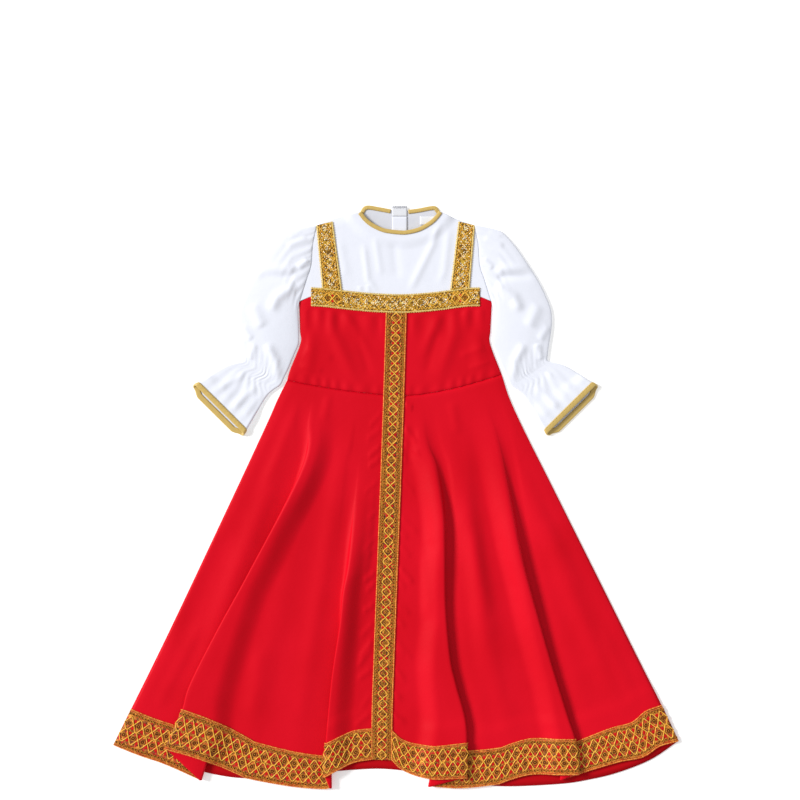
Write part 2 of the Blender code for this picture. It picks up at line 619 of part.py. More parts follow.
def yoke_front_grid():
    """Points of the yoke front."""
    top = refined(SHOULDER_LEFT, SHOULDER_COLUMNS)[:-1] + NECK_FRONT_FINE
    top = top + refined(SHOULDER_RIGHT, SHOULDER_COLUMNS)[1:]
    x, y, t = yoke_grid(top, YOKE_FRONT_ROWS, True, True)
    return np.stack([x, y, yoke_front_height(x, y, t)], axis=2)


def yoke_back_height(x, y):
    """Height of the yoke back, raised round the neck by the binding's underside."""
    neck = np.minimum(distance(x, y, NECK_BACK_LEFT + [(CLOSURE_X, CLOSURE_TOP)]),
                      distance(x, y, [(CLOSURE_X, CLOSURE_TOP)] + NECK_BACK_RIGHT))
    return BACK_Z + (BACK_NECK_Z - BACK_Z) * np.clip((YOKE_STEPS[1] - neck) / NECK_RAISED, 0.0, 1.0)


def yoke_back_grid(side):
    """Points of one half of the yoke back."""
    if side < 0:
        top = refined(SHOULDER_LEFT, SHOULDER_COLUMNS)[:-1] + curved(NECK_BACK_LEFT, 2)
        top = top + [(CLOSURE_X - SEAM_HALF, CLOSURE_TOP)]
    else:
        top = [(CLOSURE_X + SEAM_HALF, CLOSURE_TOP)] + curved(NECK_BACK_RIGHT, 2)
        top = top + refined(SHOULDER_RIGHT, SHOULDER_COLUMNS)[1:]
    x, y, _ = yoke_grid(top, YOKE_BACK_ROWS, side < 0, side > 0)
    return np.stack([x, y, yoke_back_height(x, y)], axis=2)


# Trims that lie on a panel

def chest_band_grid():
    """Points of the chest band, over the chest seam."""
    x = np.linspace(CHEST_BAND_LEFT, CHEST_BAND_RIGHT, 21)[None, :]
    seam = y_at(CHEST_SEAM, x)
    y = seam + np.array([CHEST_BAND_HALF, 0.0, -CHEST_BAND_HALF])[:, None]
    return moved_out(np.stack([x + np.zeros(y.shape), y, np.full(y.shape, FRONT_Z)], axis=2), TRIM_LIFT)


def strap_grid(corners):
    """Points of a strap between its four corners, from the shoulder seam down."""
    top_left, top_right = np.array(corners[0]), np.array(corners[1])
    rise = CHEST_BAND_HALF + 2 * GAP
    low_right, low_left = (np.array([x, y_at(CHEST_SEAM, x) + rise]) for x in corners[2:])
    length = np.linalg.norm(top_left - low_left)
    t = np.concatenate([np.array([0.0, *YOKE_STEPS]) / length, np.linspace(0.34, 1.0, 5)])[:, None, None]
    f = np.array([0.0, 0.5, 1.0])[None, :, None]
    plan = (top_left + (top_right - top_left) * f) * (1.0 - t) + (low_left + (low_right - low_left) * f) * t
    x, y = plan[:, :, 0], plan[:, :, 1]
    return moved_out(np.stack([x, y, yoke_front_base(x, y)], axis=2), TRIM_LIFT + 0.1)


def patch_grid(patch):
    """Points of a flat piece that lies on the yoke back."""
    x = np.linspace(patch.left, patch.right, 3)[None, :]
    y = np.linspace(patch.high, patch.low, patch.rows)[:, None]
    x, y = np.broadcast_arrays(x, y)
    return np.stack([x, y, yoke_back_height(x, y) + TRIM_LIFT], axis=2)


# Bindings

def binding_grid(edge, inner, normal, inner_normal):
    """Points of a strip folded over an edge, from the line inside it on one side to the other."""
    outward = edge - inner
    outward /= np.linalg.norm(outward, axis=1, keepdims=True)
    bend = np.linspace(0.5 * math.pi, -0.5 * math.pi, BINDING_BEND_POINTS)[:, None, None]
    middle = edge + (BINDING_HALF * np.cos(bend) - BINDING_BEND_IN) * outward
    middle = middle + BINDING_HALF * np.sin(bend) * normal
    legs = inner + np.array([1.0, -1.0])[:, None, None] * BINDING_HALF * inner_normal
    return np.concatenate([legs[:1], middle, legs[1:]])


def neck_binding_grid(line, z):
    """Points of the binding along a neckline at height z, with the opening on the line's left."""
    edge = np.array([(x, y, z) for x, y in line])
    run = np.gradient(edge, axis=0)
    run /= np.linalg.norm(run, axis=1, keepdims=True)
    outward = np.stack([-run[:, 1], run[:, 0], np.zeros(len(run))], axis=1)
    up = np.broadcast_to([0.0, 0.0, 1.0], edge.shape)
    return binding_grid(edge, edge - NECK_BINDING * outward, up, up)


# Sleeves

def sleeve_section(ring):
    """One ring's points round the tube: shares across its width, heights, and depths at its bends."""
    radius = min(ring.height, FLAT_SIDE if ring.height < OPEN_SIDE else OPEN_SIDE) / 2.0
    bend = np.linspace(-0.5 * math.pi, 0.5 * math.pi, SLEEVE_BEND + 1)
    top = np.linspace(0.0, 1.0, SLEEVE_TOP + 1)[1:-1]
    bottom = np.linspace(1.0, 0.0, SLEEVE_BOTTOM + 1)[1:-1]
    across = np.concatenate([np.zeros(SLEEVE_BEND + 1), top, np.ones(SLEEVE_BEND + 1), bottom])
    offset = np.concatenate([-radius * np.cos(bend), np.zeros(len(top)), radius * np.cos(bend[::-1]),
                             np.zeros(len(bottom))])
    height = np.concatenate([radius + radius * np.sin(bend), np.full(len(top), 2.0 * radius),
                             radius + radius * np.sin(bend[::-1]), np.zeros(len(bottom))])
    crown = np.zeros(len(across))
    crown[SLEEVE_BEND + 1:SLEEVE_BEND + 1 + len(top)] = 1.0
    rise = (ring.height - 2.0 * radius) * np.sin(math.pi * across) ** 0.6
    wave = ring.wave * np.sin(2.0 * math.pi * ring.count * across) * np.sin(math.pi * across) ** 0.5
    underside = np.zeros(len(across))
    underside[-len(bottom):] = smooth(2.5 * np.sin(math.pi * bottom))
    return across, offset, height + crown * (rise + wave), underside, crown, radius


def sleeve_grid():
    """Points of the left sleeve, ring by ring from the armhole to the ruffle's edge."""
    rings = []
    for index, ring in enumerate(SLEEVE_RINGS):
        across, offset, height, underside, crown, radius = sleeve_section(ring)
        outer, inner = np.array([ring.x_out, ring.y_out]), np.array([ring.x_in, ring.y_in])
        span = inner - outer
        unit = span / np.linalg.norm(span)
        plan = outer + unit * radius + (span - 2.0 * unit * radius) * across[:, None] + unit * offset[:, None]
        x, y = plan[:, 0], plan[:, 1]
        follow = max(0.0, 1.0 - 0.5 * index)
        straight = outer[0] + span[0] * (y - outer[1]) / span[1]
        bow = x_at(ARMHOLE, np.clip(y, ARMHOLE[-1][1], ARMHOLE[0][1])) - ARMHOLE_CLEAR - straight
        x = x + follow * bow
        reach = BACK_EDGE_REACH * underside * max(0.0, index - CUFF_LIFT_FROM + 1) / 3.0
        away = np.array([unit[1], -unit[0]])
        away = away if away[1] < 0 else -away
        x, y = x + away[0] * reach, y + away[1] * reach
        creases = sum(c.height * np.exp(-(distance(x, y, [(c.x_a, c.y_a), (c.x_b, c.y_b)]) / c.width) ** 2)
                      for c in SLEEVE_CREASES)
        base = BACK_Z + (LAYER + 0.1 if index >= CUFF_LIFT_FROM + 1 else 0.0)
        z = base + height + creases * crown * np.sin(math.pi * across) ** 0.5
        rings.append(np.stack([x, y, z], axis=1))
    return np.array(rings)


def cuff_binding_grid(sleeve):
    """Points of the binding round the ruffle's edge."""
    faces = normals(sleeve, closed=True)
    share = CUFF_BINDING / np.linalg.norm(sleeve[-1] - sleeve[-2], axis=1, keepdims=True)
    inner = sleeve[-1] + (sleeve[-2] - sleeve[-1]) * share
    return binding_grid(sleeve[-1], inner, faces[-1], faces[-1] + (faces[-2] - faces[-1]) * share)


def mirrored(grid):
    """The same points on the other side of the dress."""
    other = grid.copy()
    other[:, :, 0] = 2.0 * MIRROR_X - other[:, :, 0]
    return other


def build(collection):
    """Makes every piece."""
    skirt, spans = skirt_front_grid()
    add_sheet(collection, "skirt_front", skirt, "red_cloth")
    back = skirt_back_grid()
    add_sheet(collection, "skirt_back", back, "red_cloth")
    add_sheet(collection, "bodice_front", bodice_front_grid(), "red_cloth")
    add_sheet(collection, "bodice_back", bodice_back_grid(), "red_cloth")
    add_sheet(collection, "yoke_front", yoke_front_grid(), "white_cloth")
    add_sheet(collection, "yoke_back_left", yoke_back_grid(-1), "white_cloth")
    add_sheet(collection, "yoke_back_right", yoke_back_grid(1), "white_cloth")

    first, last = spans["centre_band"]
    trim = moved_out(skirt, LAYER)[-TRIM_ROWS:]
    left_trim, right_trim = trim[:, :first + 1].copy(), trim[:, last:].copy()
    left_trim[:, -1, 0] -= GAP
    right_trim[:, 0, 0] += GAP
    add_sheet(collection, "hem_trim_front_left", left_trim, "gold_lace")
    add_sheet(collection, "hem_trim_front_right", right_trim, "gold_lace")
    add_sheet(collection, "hem_trim_back", moved_out(back, -LAYER)[-TRIM_ROWS:], "gold_lace")
    add_sheet(collection, "centre_band", centre_band_grid(skirt, spans), "gold_lace")
    add_sheet(collection, "chest_band", chest_band_grid(), "bright_gold_lace")
    for name, corners in STRAPS.items():
        add_sheet(collection, name, strap_grid(corners), "bright_gold_lace")

    add_sheet(collection, "neck_binding_front",
              neck_binding_grid(NECK_FRONT_FINE, FRONT_NECK_Z), "gold_satin")
    for side, line in (("left", NECK_BACK_LEFT), ("right", NECK_BACK_RIGHT)):
        add_sheet(collection, f"neck_binding_back_{side}",
                  neck_binding_grid(curved(line, 2), BACK_NECK_Z), "gold_satin")
    for name, patch in PATCHES.items():
        add_sheet(collection, name, patch_grid(patch), patch.cloth)

    sleeve = sleeve_grid()
    cuff = cuff_binding_grid(sleeve)
    add_sheet(collection, "sleeve_left", sleeve, "white_cloth", closed=True)
    add_sheet(collection, "sleeve_right", mirrored(sleeve), "white_cloth", closed=True)
    add_sheet(collection, "cuff_binding_left", cuff, "gold_satin", closed=True)
    add_sheet(collection, "cuff_binding_right", mirrored(cuff), "gold_satin", closed=True)


def main():
    """Clears the scene and builds the dress."""
    for old in list(bpy.data.objects):
        bpy.data.objects.remove(old, do_unlink=True)
    collection = bpy.data.collections.new("party_dress")
    bpy.context.scene.collection.children.link(collection)
    build(collection)


main()
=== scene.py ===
"""Looks of a child's party dress laid flat: cloth shells with their folds and creases, gold lace made of
net, cords, rings and beads, satin bindings, stitching, and a plain pale studio.

Tables and shapes are in millimetres, in the dress's own frame: neck towards +Y, front up, table at z = 0.
MM turns them into Blender's metres when a mesh is made.
"""
import logging
import math
from dataclasses import dataclass
from enum import Enum
from typing import Mapping, NamedTuple, Sequence

import bpy
import numpy as np
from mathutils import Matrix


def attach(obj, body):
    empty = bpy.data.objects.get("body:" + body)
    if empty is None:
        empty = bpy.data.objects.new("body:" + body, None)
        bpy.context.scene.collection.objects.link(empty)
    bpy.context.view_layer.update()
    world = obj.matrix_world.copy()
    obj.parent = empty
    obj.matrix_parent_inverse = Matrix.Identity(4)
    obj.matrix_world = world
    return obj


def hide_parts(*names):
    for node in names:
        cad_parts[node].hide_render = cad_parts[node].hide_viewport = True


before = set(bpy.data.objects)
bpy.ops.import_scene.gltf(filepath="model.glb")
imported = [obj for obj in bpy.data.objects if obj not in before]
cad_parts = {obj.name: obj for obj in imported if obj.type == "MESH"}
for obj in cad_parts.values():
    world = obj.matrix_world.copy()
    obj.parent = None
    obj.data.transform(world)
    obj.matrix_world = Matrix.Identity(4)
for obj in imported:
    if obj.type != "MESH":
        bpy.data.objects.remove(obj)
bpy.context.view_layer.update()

log = logging.getLogger("party_dress")
Array = np.ndarray
Point = tuple[float, float]
Line = Sequence[Point]
Span = tuple[float, float]

MM = 0.001
PI = math.pi
TURN = 2 * PI

# Heights of the middle of each layer of cloth above the table
BACK_Z = 0.5
SEAM_Z = 1.95
FRONT_Z = 3.6
BACK_NECK_Z = 1.8
FRONT_NECK_Z = 5.75
LAYER = 1.3
SIDE_ROUND = 14

# Cloth, trims and bindings
CLOTH = 0.8
TRIM_LIFT = 1.1
SEAM_HALF = 0.1
SEAM_DEPTH, SEAM_WIDTH = 1, 2.2
HEM_TRIM = 58
BAND_WIDTH = 32
CHEST_BAND_HALF = 13.5
NECK_BINDING = 5.2
CUFF_BINDING = 7.4
BINDING_HALF = 1.15
CLOSURE_X, CLOSURE_LEFT, CLOSURE_RIGHT = 5.4, -6.2, 17.1
MIRROR_X = -0.8
SKIRT_LENGTH = 585

# Outlines
NECK_FRONT = [(-54.5, 442.3), (-46, 431.6), (-35.5, 423.4), (-18, 415.6), (6.2, 412.4),
              (19, 413), (36, 417.4), (52.5, 427), (61.5, 435.6), (67.2, 443.2)]
NECK_BACK_LEFT = [(-54.5, 442.3), (-50, 448.9), (-42.5, 451.4), (-25, 448.6), (-8, 445.4)]
NECK_BACK_RIGHT = [(18.8, 444.6), (36, 447), (52.5, 450.2), (61.5, 450), (67.2, 443.2)]
CLOSURE_TOP = 444.8
ARMHOLE_POINTS = [(-124, 421.5), (-130.2, 391), (-132.5, 360), (-139.5, 338), (-150.3, 303.5)]
CHEST_SEAM_POINTS = [(-150.3, 303.5), (-133.3, 311), (-110, 309.6), (-86.8, 306.8), (-40.3, 302.2),
                     (6.2, 300.2), (37.2, 301.6), (68.2, 304.6), (107, 309.8), (131.8, 310.8),
                     (148.7, 303.5)]
WAIST_SEAM_POINTS = [(-169, 181.8), (-131.8, 174.1), (-77.5, 165.2), (-20.8, 159), (16.1, 157.6),
                     (52.7, 161.4), (99.2, 171), (151, 186), (164.3, 190.3)]
BODICE_LEFT_POINTS = [(-150.3, 303.5), (-148.8, 259.3), (-148, 239.2), (-164.3, 197.3), (-168.6, 181.8)]
BODICE_RIGHT_POINTS = [(148.7, 303.5), (146.5, 259.3), (145.7, 239.2), (160.5, 199), (164, 190.3)]
SKIRT_LEFT_POINTS = [(-168.6, 181.8), (-184, 150.8), (-197.6, 119.8), (-231.3, 47), (-271.3, -38.3),
                     (-331.8, -166.5), (-370, -246), (-413.6, -334.3), (-438, -383.9)]
SKIRT_RIGHT_POINTS = [(164, 190.3), (177, 150.8), (202.7, 95.6), (236.4, 28.7), (285.2, -69),
                      (327.8, -154.2), (370.4, -239.8), (413.1, -325), (438, -378)]
BAND_LEFT_POINTS = [(-15.5, 284.5), (-20.8, 121.4), (-33.5, -200), (-37.5, -314.2), (-37.6, -407.2)]
HEM_BACK_POINTS = [(-438, -383.9), (-381.3, -402.5), (-292.9, -427.3), (-232.5, -435.9), (-164.3, -432),
                   (-94.5, -425), (-20.2, -421.1), (52.7, -430.4), (114.7, -442.8), (169, -448.3),
                   (254.2, -444.6), (299, -438), (344.1, -427), (395.2, -406.8), (438, -378)]
HEM_FRONT_POINTS = {
    "outer_left": [(-438, -383.9), (-396.8, -400.2), (-358.1, -413.4), (-302.2, -438.2)],
    "left": [(-357.3, -388.6), (-303.8, -404.1), (-241.8, -430.4), (-232.5, -435.1), (-164.3, -447.5),
             (-110, -451.6), (-99.8, -446.7)],
    "centre_left": [(-111.6, -432.8), (-86.8, -419.6), (-63.6, -410.3), (-37.6, -406)],
    "centre_band": [(-37.6, -406), (-5.6, -407.2)],
    "centre_right": [(-5.6, -407.2), (6.2, -419.6), (24.8, -428.9), (52.7, -434.3), (68.2, -435.1),
                     (108.5, -433.5)],
    "right": [(51.1, -447.5), (99.2, -450.6), (154.5, -445), (170.5, -439.7), (196.1, -432),
              (218.2, -428.9), (282.1, -428.1)],
    "outer_right": [(255.8, -437.4), (283.7, -428.4), (344.1, -410.3), (382.9, -402.5),
                    (408.4, -385.9), (438, -378)],
}
# Depth of the hem trim as it lies, at the left and right end of each panel
TRIM_DEPTH = {"outer_left": (56.1, 60), "left": (62, 51), "centre_left": (53, 48),
              "centre_band": (48, 46), "centre_right": (46, 55), "right": (59, 55),
              "outer_right": (50, 56.3)}


class Fold(NamedTuple):
    """A knife fold: the way its edge faces, its overlap, where it starts and lies flat, and its edge."""

    faces: int
    overlap: float
    starts: float
    flat: float
    roll: float
    edge: list[Point]


FOLDS = {
    "outer_left": Fold(-1, 56, 0.02, 0.56, 1.3, [
        (-120.9, 171), (-130.2, 119.8), (-141.1, 47), (-226.3, -117.3), (-275.9, -208.8),
        (-318.5, -294), (-331.7, -337.4), (-357.3, -388.6)]),
    "inner_left": Fold(-1, 12, 0.15, 0.86, 1, [
        (-40, 161.7), (-68.2, -75.5), (-80.6, -142.1), (-86.8, -196.4), (-99.2, -276.2),
        (-108.5, -373.9), (-111.6, -432.8)]),
    "inner_right": Fold(1, 57, 0.02, 0.58, 2, [
        (34, 157), (44.2, 86.5), (58.9, 47), (71.3, -19.7), (74.4, -69.3), (76.6, -166.9),
        (83.7, -246), (93, -287.8), (108.5, -349.8), (108.5, -433.5)]),
    "outer_right": Fold(1, 26, 0.02, 0.76, 2.2, [
        (127.1, 178.7), (138.7, 138.4), (156.6, 78), (175.2, -7.3), (193.8, -93.3), (218.1, -178.7),
        (241.8, -258.4), (266.6, -337.4), (276.7, -370), (282.1, -428.1)]),
}
SKIRT_ORDER = ("outer_left", "left", "centre_left", "centre_band", "centre_right", "right", "outer_right")
SKIRT_COLUMNS = {"outer_left": 26, "left": 50, "centre_left": 22, "centre_band": 8, "centre_right": 26,
                 "right": 50, "outer_right": 30}
FOLD_AFTER = {"outer_left": "outer_left", "left": "inner_left", "centre_right": "inner_right",
              "right": "outer_right"}
RAISED_BY = {"left": "outer_left", "centre_left": "inner_left", "centre_right": "inner_right",
             "right": "outer_right"}


class Ridge(NamedTuple):
    """A soft ridge down a panel: x and place down it at its two ends, its height and half width."""

    x_top: float
    top: float
    x_end: float
    end: float
    height: float
    width: float


class Crease(NamedTuple):
    """A crease along a line: its height, below 0 for a trough, and its half width."""

    height: float
    width: float
    line: list[Point]


SKIRT_RIDGES = [
    Ridge(-150, 0.08, -335, 0.88, 3, 15), Ridge(-100, 0.03, -238, 0.97, 2.7, 17),
    Ridge(-72, 0.06, -160, 0.92, 1.9, 14), Ridge(-30, 0.20, -62, 0.75, 0.9, 6),
    Ridge(72, 0.03, 182, 0.92, 4.5, 17), Ridge(104, 0.06, 140, 0.80, 2.5, 13),
    Ridge(156, 0.10, 358, 0.90, 3.2, 16),
]
SKIRT_CREASES = [
    Crease(-1.8, 11, [(58, 86.5), (70, 47), (83, -19.7), (86, -69.3), (88, -166.9),
                        (95, -246), (104.5, -287.8), (119, -349.8), (121, -425)]),
    Crease(-1.8, 12, [(151, 138.4), (169, 78), (188, -7.3), (206, -93.3), (230, -178.7),
                        (254, -258.4), (278, -337.4), (288, -370), (294, -420)]),
    Crease(-1.6, 20, [(-86.8, 138.4), (-117.8, 28.4), (-153.5, -69.3), (-184.5, -196.4), (-193.8, -325)]),
    Crease(1.4, 8, [(-56.4, 119.8), (-68.2, 65.6)]), Crease(-1.5, 18, [(-257.3, -44.5), (-336.4, -227.4)]),
    Crease(-1.2, 9, [(29.5, 113.6), (17.1, 40.8)]), Crease(1, 9, [(-150, 150), (-185, 60), (-210, 10)]),
    Crease(0.9, 7, [(-104, 158), (-112, 118)]), Crease(1.2, 12, [(-210, -230), (-225, -345)]),
    Crease(1.1, 10, [(120, -40), (142, -190)]), Crease(-1, 12, [(150, -200), (176, -330)]),
    Crease(1, 8, [(86, 150), (96, 96)]), Crease(1.1, 12, [(230, -30), (290, -150)]),
    Crease(0.9, 9, [(318, -200), (372, -320)]), Crease(0.9, 9, [(-300, -190), (-372, -330)]),
    Crease(0.8, 7, [(40, -60), (50, -190)]),
]
BODICE_RIDGES = [
    Ridge(-118, 0.05, -60, 0.95, 2.2, 12), Ridge(-128, 0.35, -140, 0.98, 1.8, 10),
    Ridge(-84, 0.04, -40, 0.62, 1.5, 9), Ridge(108, 0.05, 62, 0.95, 2.2, 12),
    Ridge(122, 0.35, 134, 0.98, 1.8, 10), Ridge(74, 0.04, 40, 0.62, 1.5, 9),
]
BODICE_CREASES = [
    Crease(0.9, 6, [(-140, 232), (-96, 214)]), Crease(0.8, 5, [(-150, 205), (-112, 196)]),
    Crease(0.8, 6, [(138, 234), (98, 218)]), Crease(0.7, 5, [(146, 210), (112, 200)]),
    Crease(-0.9, 7, [(-62, 262), (-40, 186)]), Crease(-0.9, 7, [(66, 262), (46, 190)]),
]
YOKE_CREASES = [
    Crease(1.4, 6, [(67.4, 434.5), (55.8, 389.5), (20.2, 318.2)]),
    Crease(1, 5, [(-50.4, 394.2), (-43.4, 336.8), (-27.9, 318.2)]),
    Crease(0.8, 5, [(-32.6, 403.5), (-23.3, 341.5)]),
    Crease(0.9, 6, [(82.9, 420.5), (74.4, 349.2), (65.1, 327.5)]), Crease(-0.8, 7, [(-4, 398), (2, 338)]),
    Crease(0.8, 5, [(-88, 400), (-76, 340)]), Crease(0.7, 4, [(-44, 330), (-42, 317)]),
    Crease(0.7, 4, [(-56, 328), (-55, 317)]),
]
SLEEVE_CREASES = [
    Crease(1.8, 5, [(-170.5, 389.5), (-137, 404)]), Crease(1.6, 5, [(-152, 353.9), (-136, 369.4)]),
    Crease(1.6, 4, [(-165.9, 403.5), (-146, 413)]), Crease(2.6, 7, [(-217, 356), (-154, 353)]),
    Crease(-2.4, 6, [(-214, 344), (-156, 341)]),
    Crease(3.2, 8, [(-154, 329.7), (-183.7, 309.7), (-195.3, 287.2)]),
    Crease(2.2, 6, [(-239.3, 265.5), (-223.7, 243)]), Crease(2.2, 6, [(-219.3, 239.2), (-227.9, 212)]),
    Crease(2.8, 7, [(-201.5, 239.2), (-186, 212), (-181.4, 180.9)]),
    Crease(2.4, 9, [(-224, 300), (-206, 262)]), Crease(1.6, 6, [(-252.7, 136.9), (-217, 172.5)]),
    Crease(1.6, 6, [(-274.8, 167.9), (-232.5, 194.2)]), Crease(1.2, 5, [(-236, 122), (-208, 160)]),
]


class Ring(NamedTuple):
    """A ring of the left sleeve: its outer and inner edge, its height, and its wave height and count."""

    x_out: float
    y_out: float
    x_in: float
    y_in: float
    height: float
    wave: float
    count: float


SLEEVE_RINGS = [
    Ring(-124.8, 421, -150.9, 304.6, 3.6, 0, 7), Ring(-145.7, 420, -151.9, 299, 4.2, 0.4, 7),
    Ring(-164, 412.4, -152.2, 291, 4.4, 0.3, 7), Ring(-182.5, 393.8, -151.8, 281, 4.4, 0.2, 7),
    Ring(-201, 368.2, -151.3, 269, 4.4, 0, 7), Ring(-223.6, 332.5, -150.8, 254, 4.4, 0, 7),
    Ring(-239.8, 296.3, -151, 238.5, 4.4, 0, 8), Ring(-242.9, 274.7, -156.6, 224.5, 4.4, 0, 8),
    Ring(-241.4, 254.8, -162.2, 211.3, 4.4, 0, 8), Ring(-238.4, 236.2, -167.5, 198.4, 4.4, 0.1, 8),
    Ring(-236.6, 222, -173.6, 186, 4.3, 0.1, 8), Ring(-237, 211.5, -179.2, 174.6, 4.2, 0.15, 8),
    Ring(-252.4, 207.4, -189.6, 167, 4.3, 0.2, 8), Ring(-266.4, 202.2, -199.8, 157.8, 4.5, 0.3, 6),
    Ring(-281.8, 193.2, -209.4, 142.8, 4.8, 0.3, 5), Ring(-295.4, 184.4, -222.6, 119.2, 6.2, 0.4, 5),
    Ring(-311, 175.1, -234.4, 99.2, 6.2, 0, 5),
]
ELASTIC_RING = 11.2
CUFF_RING = 14

STRAPS = {
    "strap_left": ((-122.5, 421.4), (-98.8, 427.2), -84.5, -113.5),
    "strap_right": ((97.8, 427.2), (121.4, 421.4), 113.2, 85),
}


def smooth(t: Array) -> Array:
    """0 below 0, 1 above 1 and an even S between."""
    t = np.clip(t, 0, 1)
    return t * t * (3 - 2 * t)


def eased(value: Array, start: float, length: float) -> Array:
    """0 up to start, 1 a length further on and an even S between. A length below 0 runs the other way."""
    return smooth((value - start) / length)


def curved(line: Sequence[Sequence[float]], per_stretch: int = 8) -> list[tuple[float, ...]]:
    """Smooth line through the same points: each stretch is a cubic with the mean slopes at its ends.

    Args:
        line: points of any dimension.
        per_stretch: steps that each stretch is cut into.

    Returns:
        The finer list of points.
    """
    points = np.array(line, dtype=float)
    slopes = np.gradient(points, axis=0)
    s = np.linspace(0, 1, per_stretch, endpoint=False)[:, None]
    made = []
    for p, q, m, n in zip(points, points[1:], slopes, slopes[1:]):
        made.append(p * (1 + 2 * s) * (1 - s) ** 2 + m * s * (1 - s) ** 2
                    + q * s ** 2 * (3 - 2 * s) - n * s ** 2 * (1 - s))
    return [tuple(point) for point in np.concatenate(made)] + [tuple(points[-1])]


def x_at(line: Line, y: Array) -> Array:
    """x at y of a line that runs up or down."""
    points = sorted(line, key=lambda point: point[1])
    return np.interp(y, [p[1] for p in points], [p[0] for p in points])


def y_at(line: Line, x: Array) -> Array:
    """y at x of a line that runs across."""
    points = sorted(line)
    return np.interp(x, [p[0] for p in points], [p[1] for p in points])


def along(line: Line, t: Array) -> Array:
    """x of a line at t, 0 at its first point's y and 1 at its last one's."""
    return x_at(line, line[0][1] + (line[-1][1] - line[0][1]) * t)


def nearest(x: Array, y: Array, line: Line) -> tuple[Array, Array]:
    """Distance from each point to a line, and the share of the line's length where it is nearest.

    Args:
        x: x of the points.
        y: y of the points.
        line: the line's corners.

    Returns:
        The distances and the shares.
    """
    best = np.full(np.shape(x), np.inf)
    share = np.zeros(np.shape(x))
    steps = np.append(0, np.cumsum([math.dist(a, b) for a, b in zip(line, line[1:])]))
    for (xa, ya), (xb, yb), start, end in zip(line, line[1:], steps, steps[1:]):
        t = np.clip(((x - xa) * (xb - xa) + (y - ya) * (yb - ya)) / (end - start) ** 2, 0, 1)
        gap = np.hypot(x - xa - t * (xb - xa), y - ya - t * (yb - ya))
        share = np.where(gap < best, (start + (end - start) * t) / steps[-1], share)
        best = np.minimum(best, gap)
    return best, share


def creased(x: Array, y: Array, creases: Sequence[Crease]) -> Array:
    """Height that creases add: a bell across each line, faded over the ends of its length.

    Args:
        x: x of the points.
        y: y of the points.
        creases: the creases, listed.

    Returns:
        The heights.
    """
    total = np.zeros(np.broadcast(x, y).shape)
    for crease in creases:
        gap, share = nearest(x, y, crease.line)
        total += crease.height * np.exp(-((gap / crease.width) ** 2)) * smooth(4 * share + 0.15) * smooth(
            4 * (1 - share) + 0.15)
    return total


def ridged(x: Array, t: Array, ridges: Sequence[Ridge]) -> Array:
    """Height that soft ridges add: a bell across, half a sine wave down the ridge.

    Args:
        x: x of the points.
        t: place down the panel.
        ridges: the ridges, listed.

    Returns:
        The heights.
    """
    total = np.zeros(np.broadcast(x, t).shape)
    for ridge in ridges:
        share = np.clip((t - ridge.top) / (ridge.end - ridge.top), 0, 1)
        middle = ridge.x_top + (ridge.x_end - ridge.x_top) * share
        total += ridge.height * np.sin(PI * share) * np.exp(-(((x - middle) / ridge.width) ** 2))
    return total


def unit(vectors: Array) -> Array:
    """The vectors at length 1, along the last axis."""
    return vectors / np.maximum(np.linalg.norm(vectors, axis=-1, keepdims=True), 1e-9)


def reach_along(points: Array) -> Array:
    """Distance along a line at each of its points."""
    return np.append(0, np.cumsum(np.linalg.norm(np.diff(points, axis=0), axis=1)))


def grid_of(x: Array, y: Array, z: Array | float) -> Array:
    """One grid of points from their x, y and z."""
    return np.stack(np.broadcast_arrays(x, y, z), axis=2)


def normals(grid: Array, closed: bool = False) -> Array:
    """Unit normals on the upper side of a grid whose rows run down the dress."""
    across = np.roll(grid, -1, axis=1) - np.roll(grid, 1, axis=1) if closed else np.gradient(grid, axis=1)
    return unit(np.cross(np.gradient(grid, axis=0), across))


def lifted(grid: Array, lift: float, closed: bool = False) -> Array:
    """A copy of a grid, moved out along its normals."""
    return grid + normals(grid, closed) * lift


def rounded(inset: Array) -> Array:
    """Share of its full height that a front panel has at this distance from a closed side."""
    return 1 - (1 - np.clip(inset / SIDE_ROUND, 0, 1)) ** 2


def seam_dip(gap: Array, depth: float = SEAM_DEPTH) -> Array:
    """Height at this distance from a seam's groove: a narrow bell, below 0."""
    return -depth * np.exp(-((gap / SEAM_WIDTH) ** 2))


ARMHOLE = curved(ARMHOLE_POINTS)
CHEST_SEAM = [CHEST_SEAM_POINTS[0], *curved(CHEST_SEAM_POINTS[1:-1]), CHEST_SEAM_POINTS[-1]]
WAIST_SEAM = curved(WAIST_SEAM_POINTS)
BODICE_LEFT, BODICE_RIGHT = curved(BODICE_LEFT_POINTS), curved(BODICE_RIGHT_POINTS)
SKIRT_LEFT, SKIRT_RIGHT = curved(SKIRT_LEFT_POINTS), curved(SKIRT_RIGHT_POINTS)
BAND_LEFT = curved(BAND_LEFT_POINTS)
HEM_BACK = curved(HEM_BACK_POINTS)
HEM_FRONT = {name: curved(line) for name, line in HEM_FRONT_POINTS.items()}


class Run(Enum):
    """The way that a trim's length runs on its grid of points."""

    DOWN = "down the rows"
    ACROSS = "along each row"


class Slot(Enum):
    """The record's material slots."""

    RED = "red_cloth"
    WHITE = "white_cloth"
    SATIN = "gold_satin"
    BRIGHT = "bright_gold_lace"
    LACE = "gold_lace"
    TAPE = "white_tape"


# Node groups and finishes

SLOW_NOISE, GLINT_NOISE = 7, 500
TONE_RANGE, GLINT_RANGE = (0.3, 0.7), (0.35, 0.65)
RING_INSIDE, RING_OUTSIDE = (0.16, 0.28), (0.50, 0.38)
RUMPLE_NOISE = 38


Sockets = Mapping[str, bpy.types.NodeSocket]


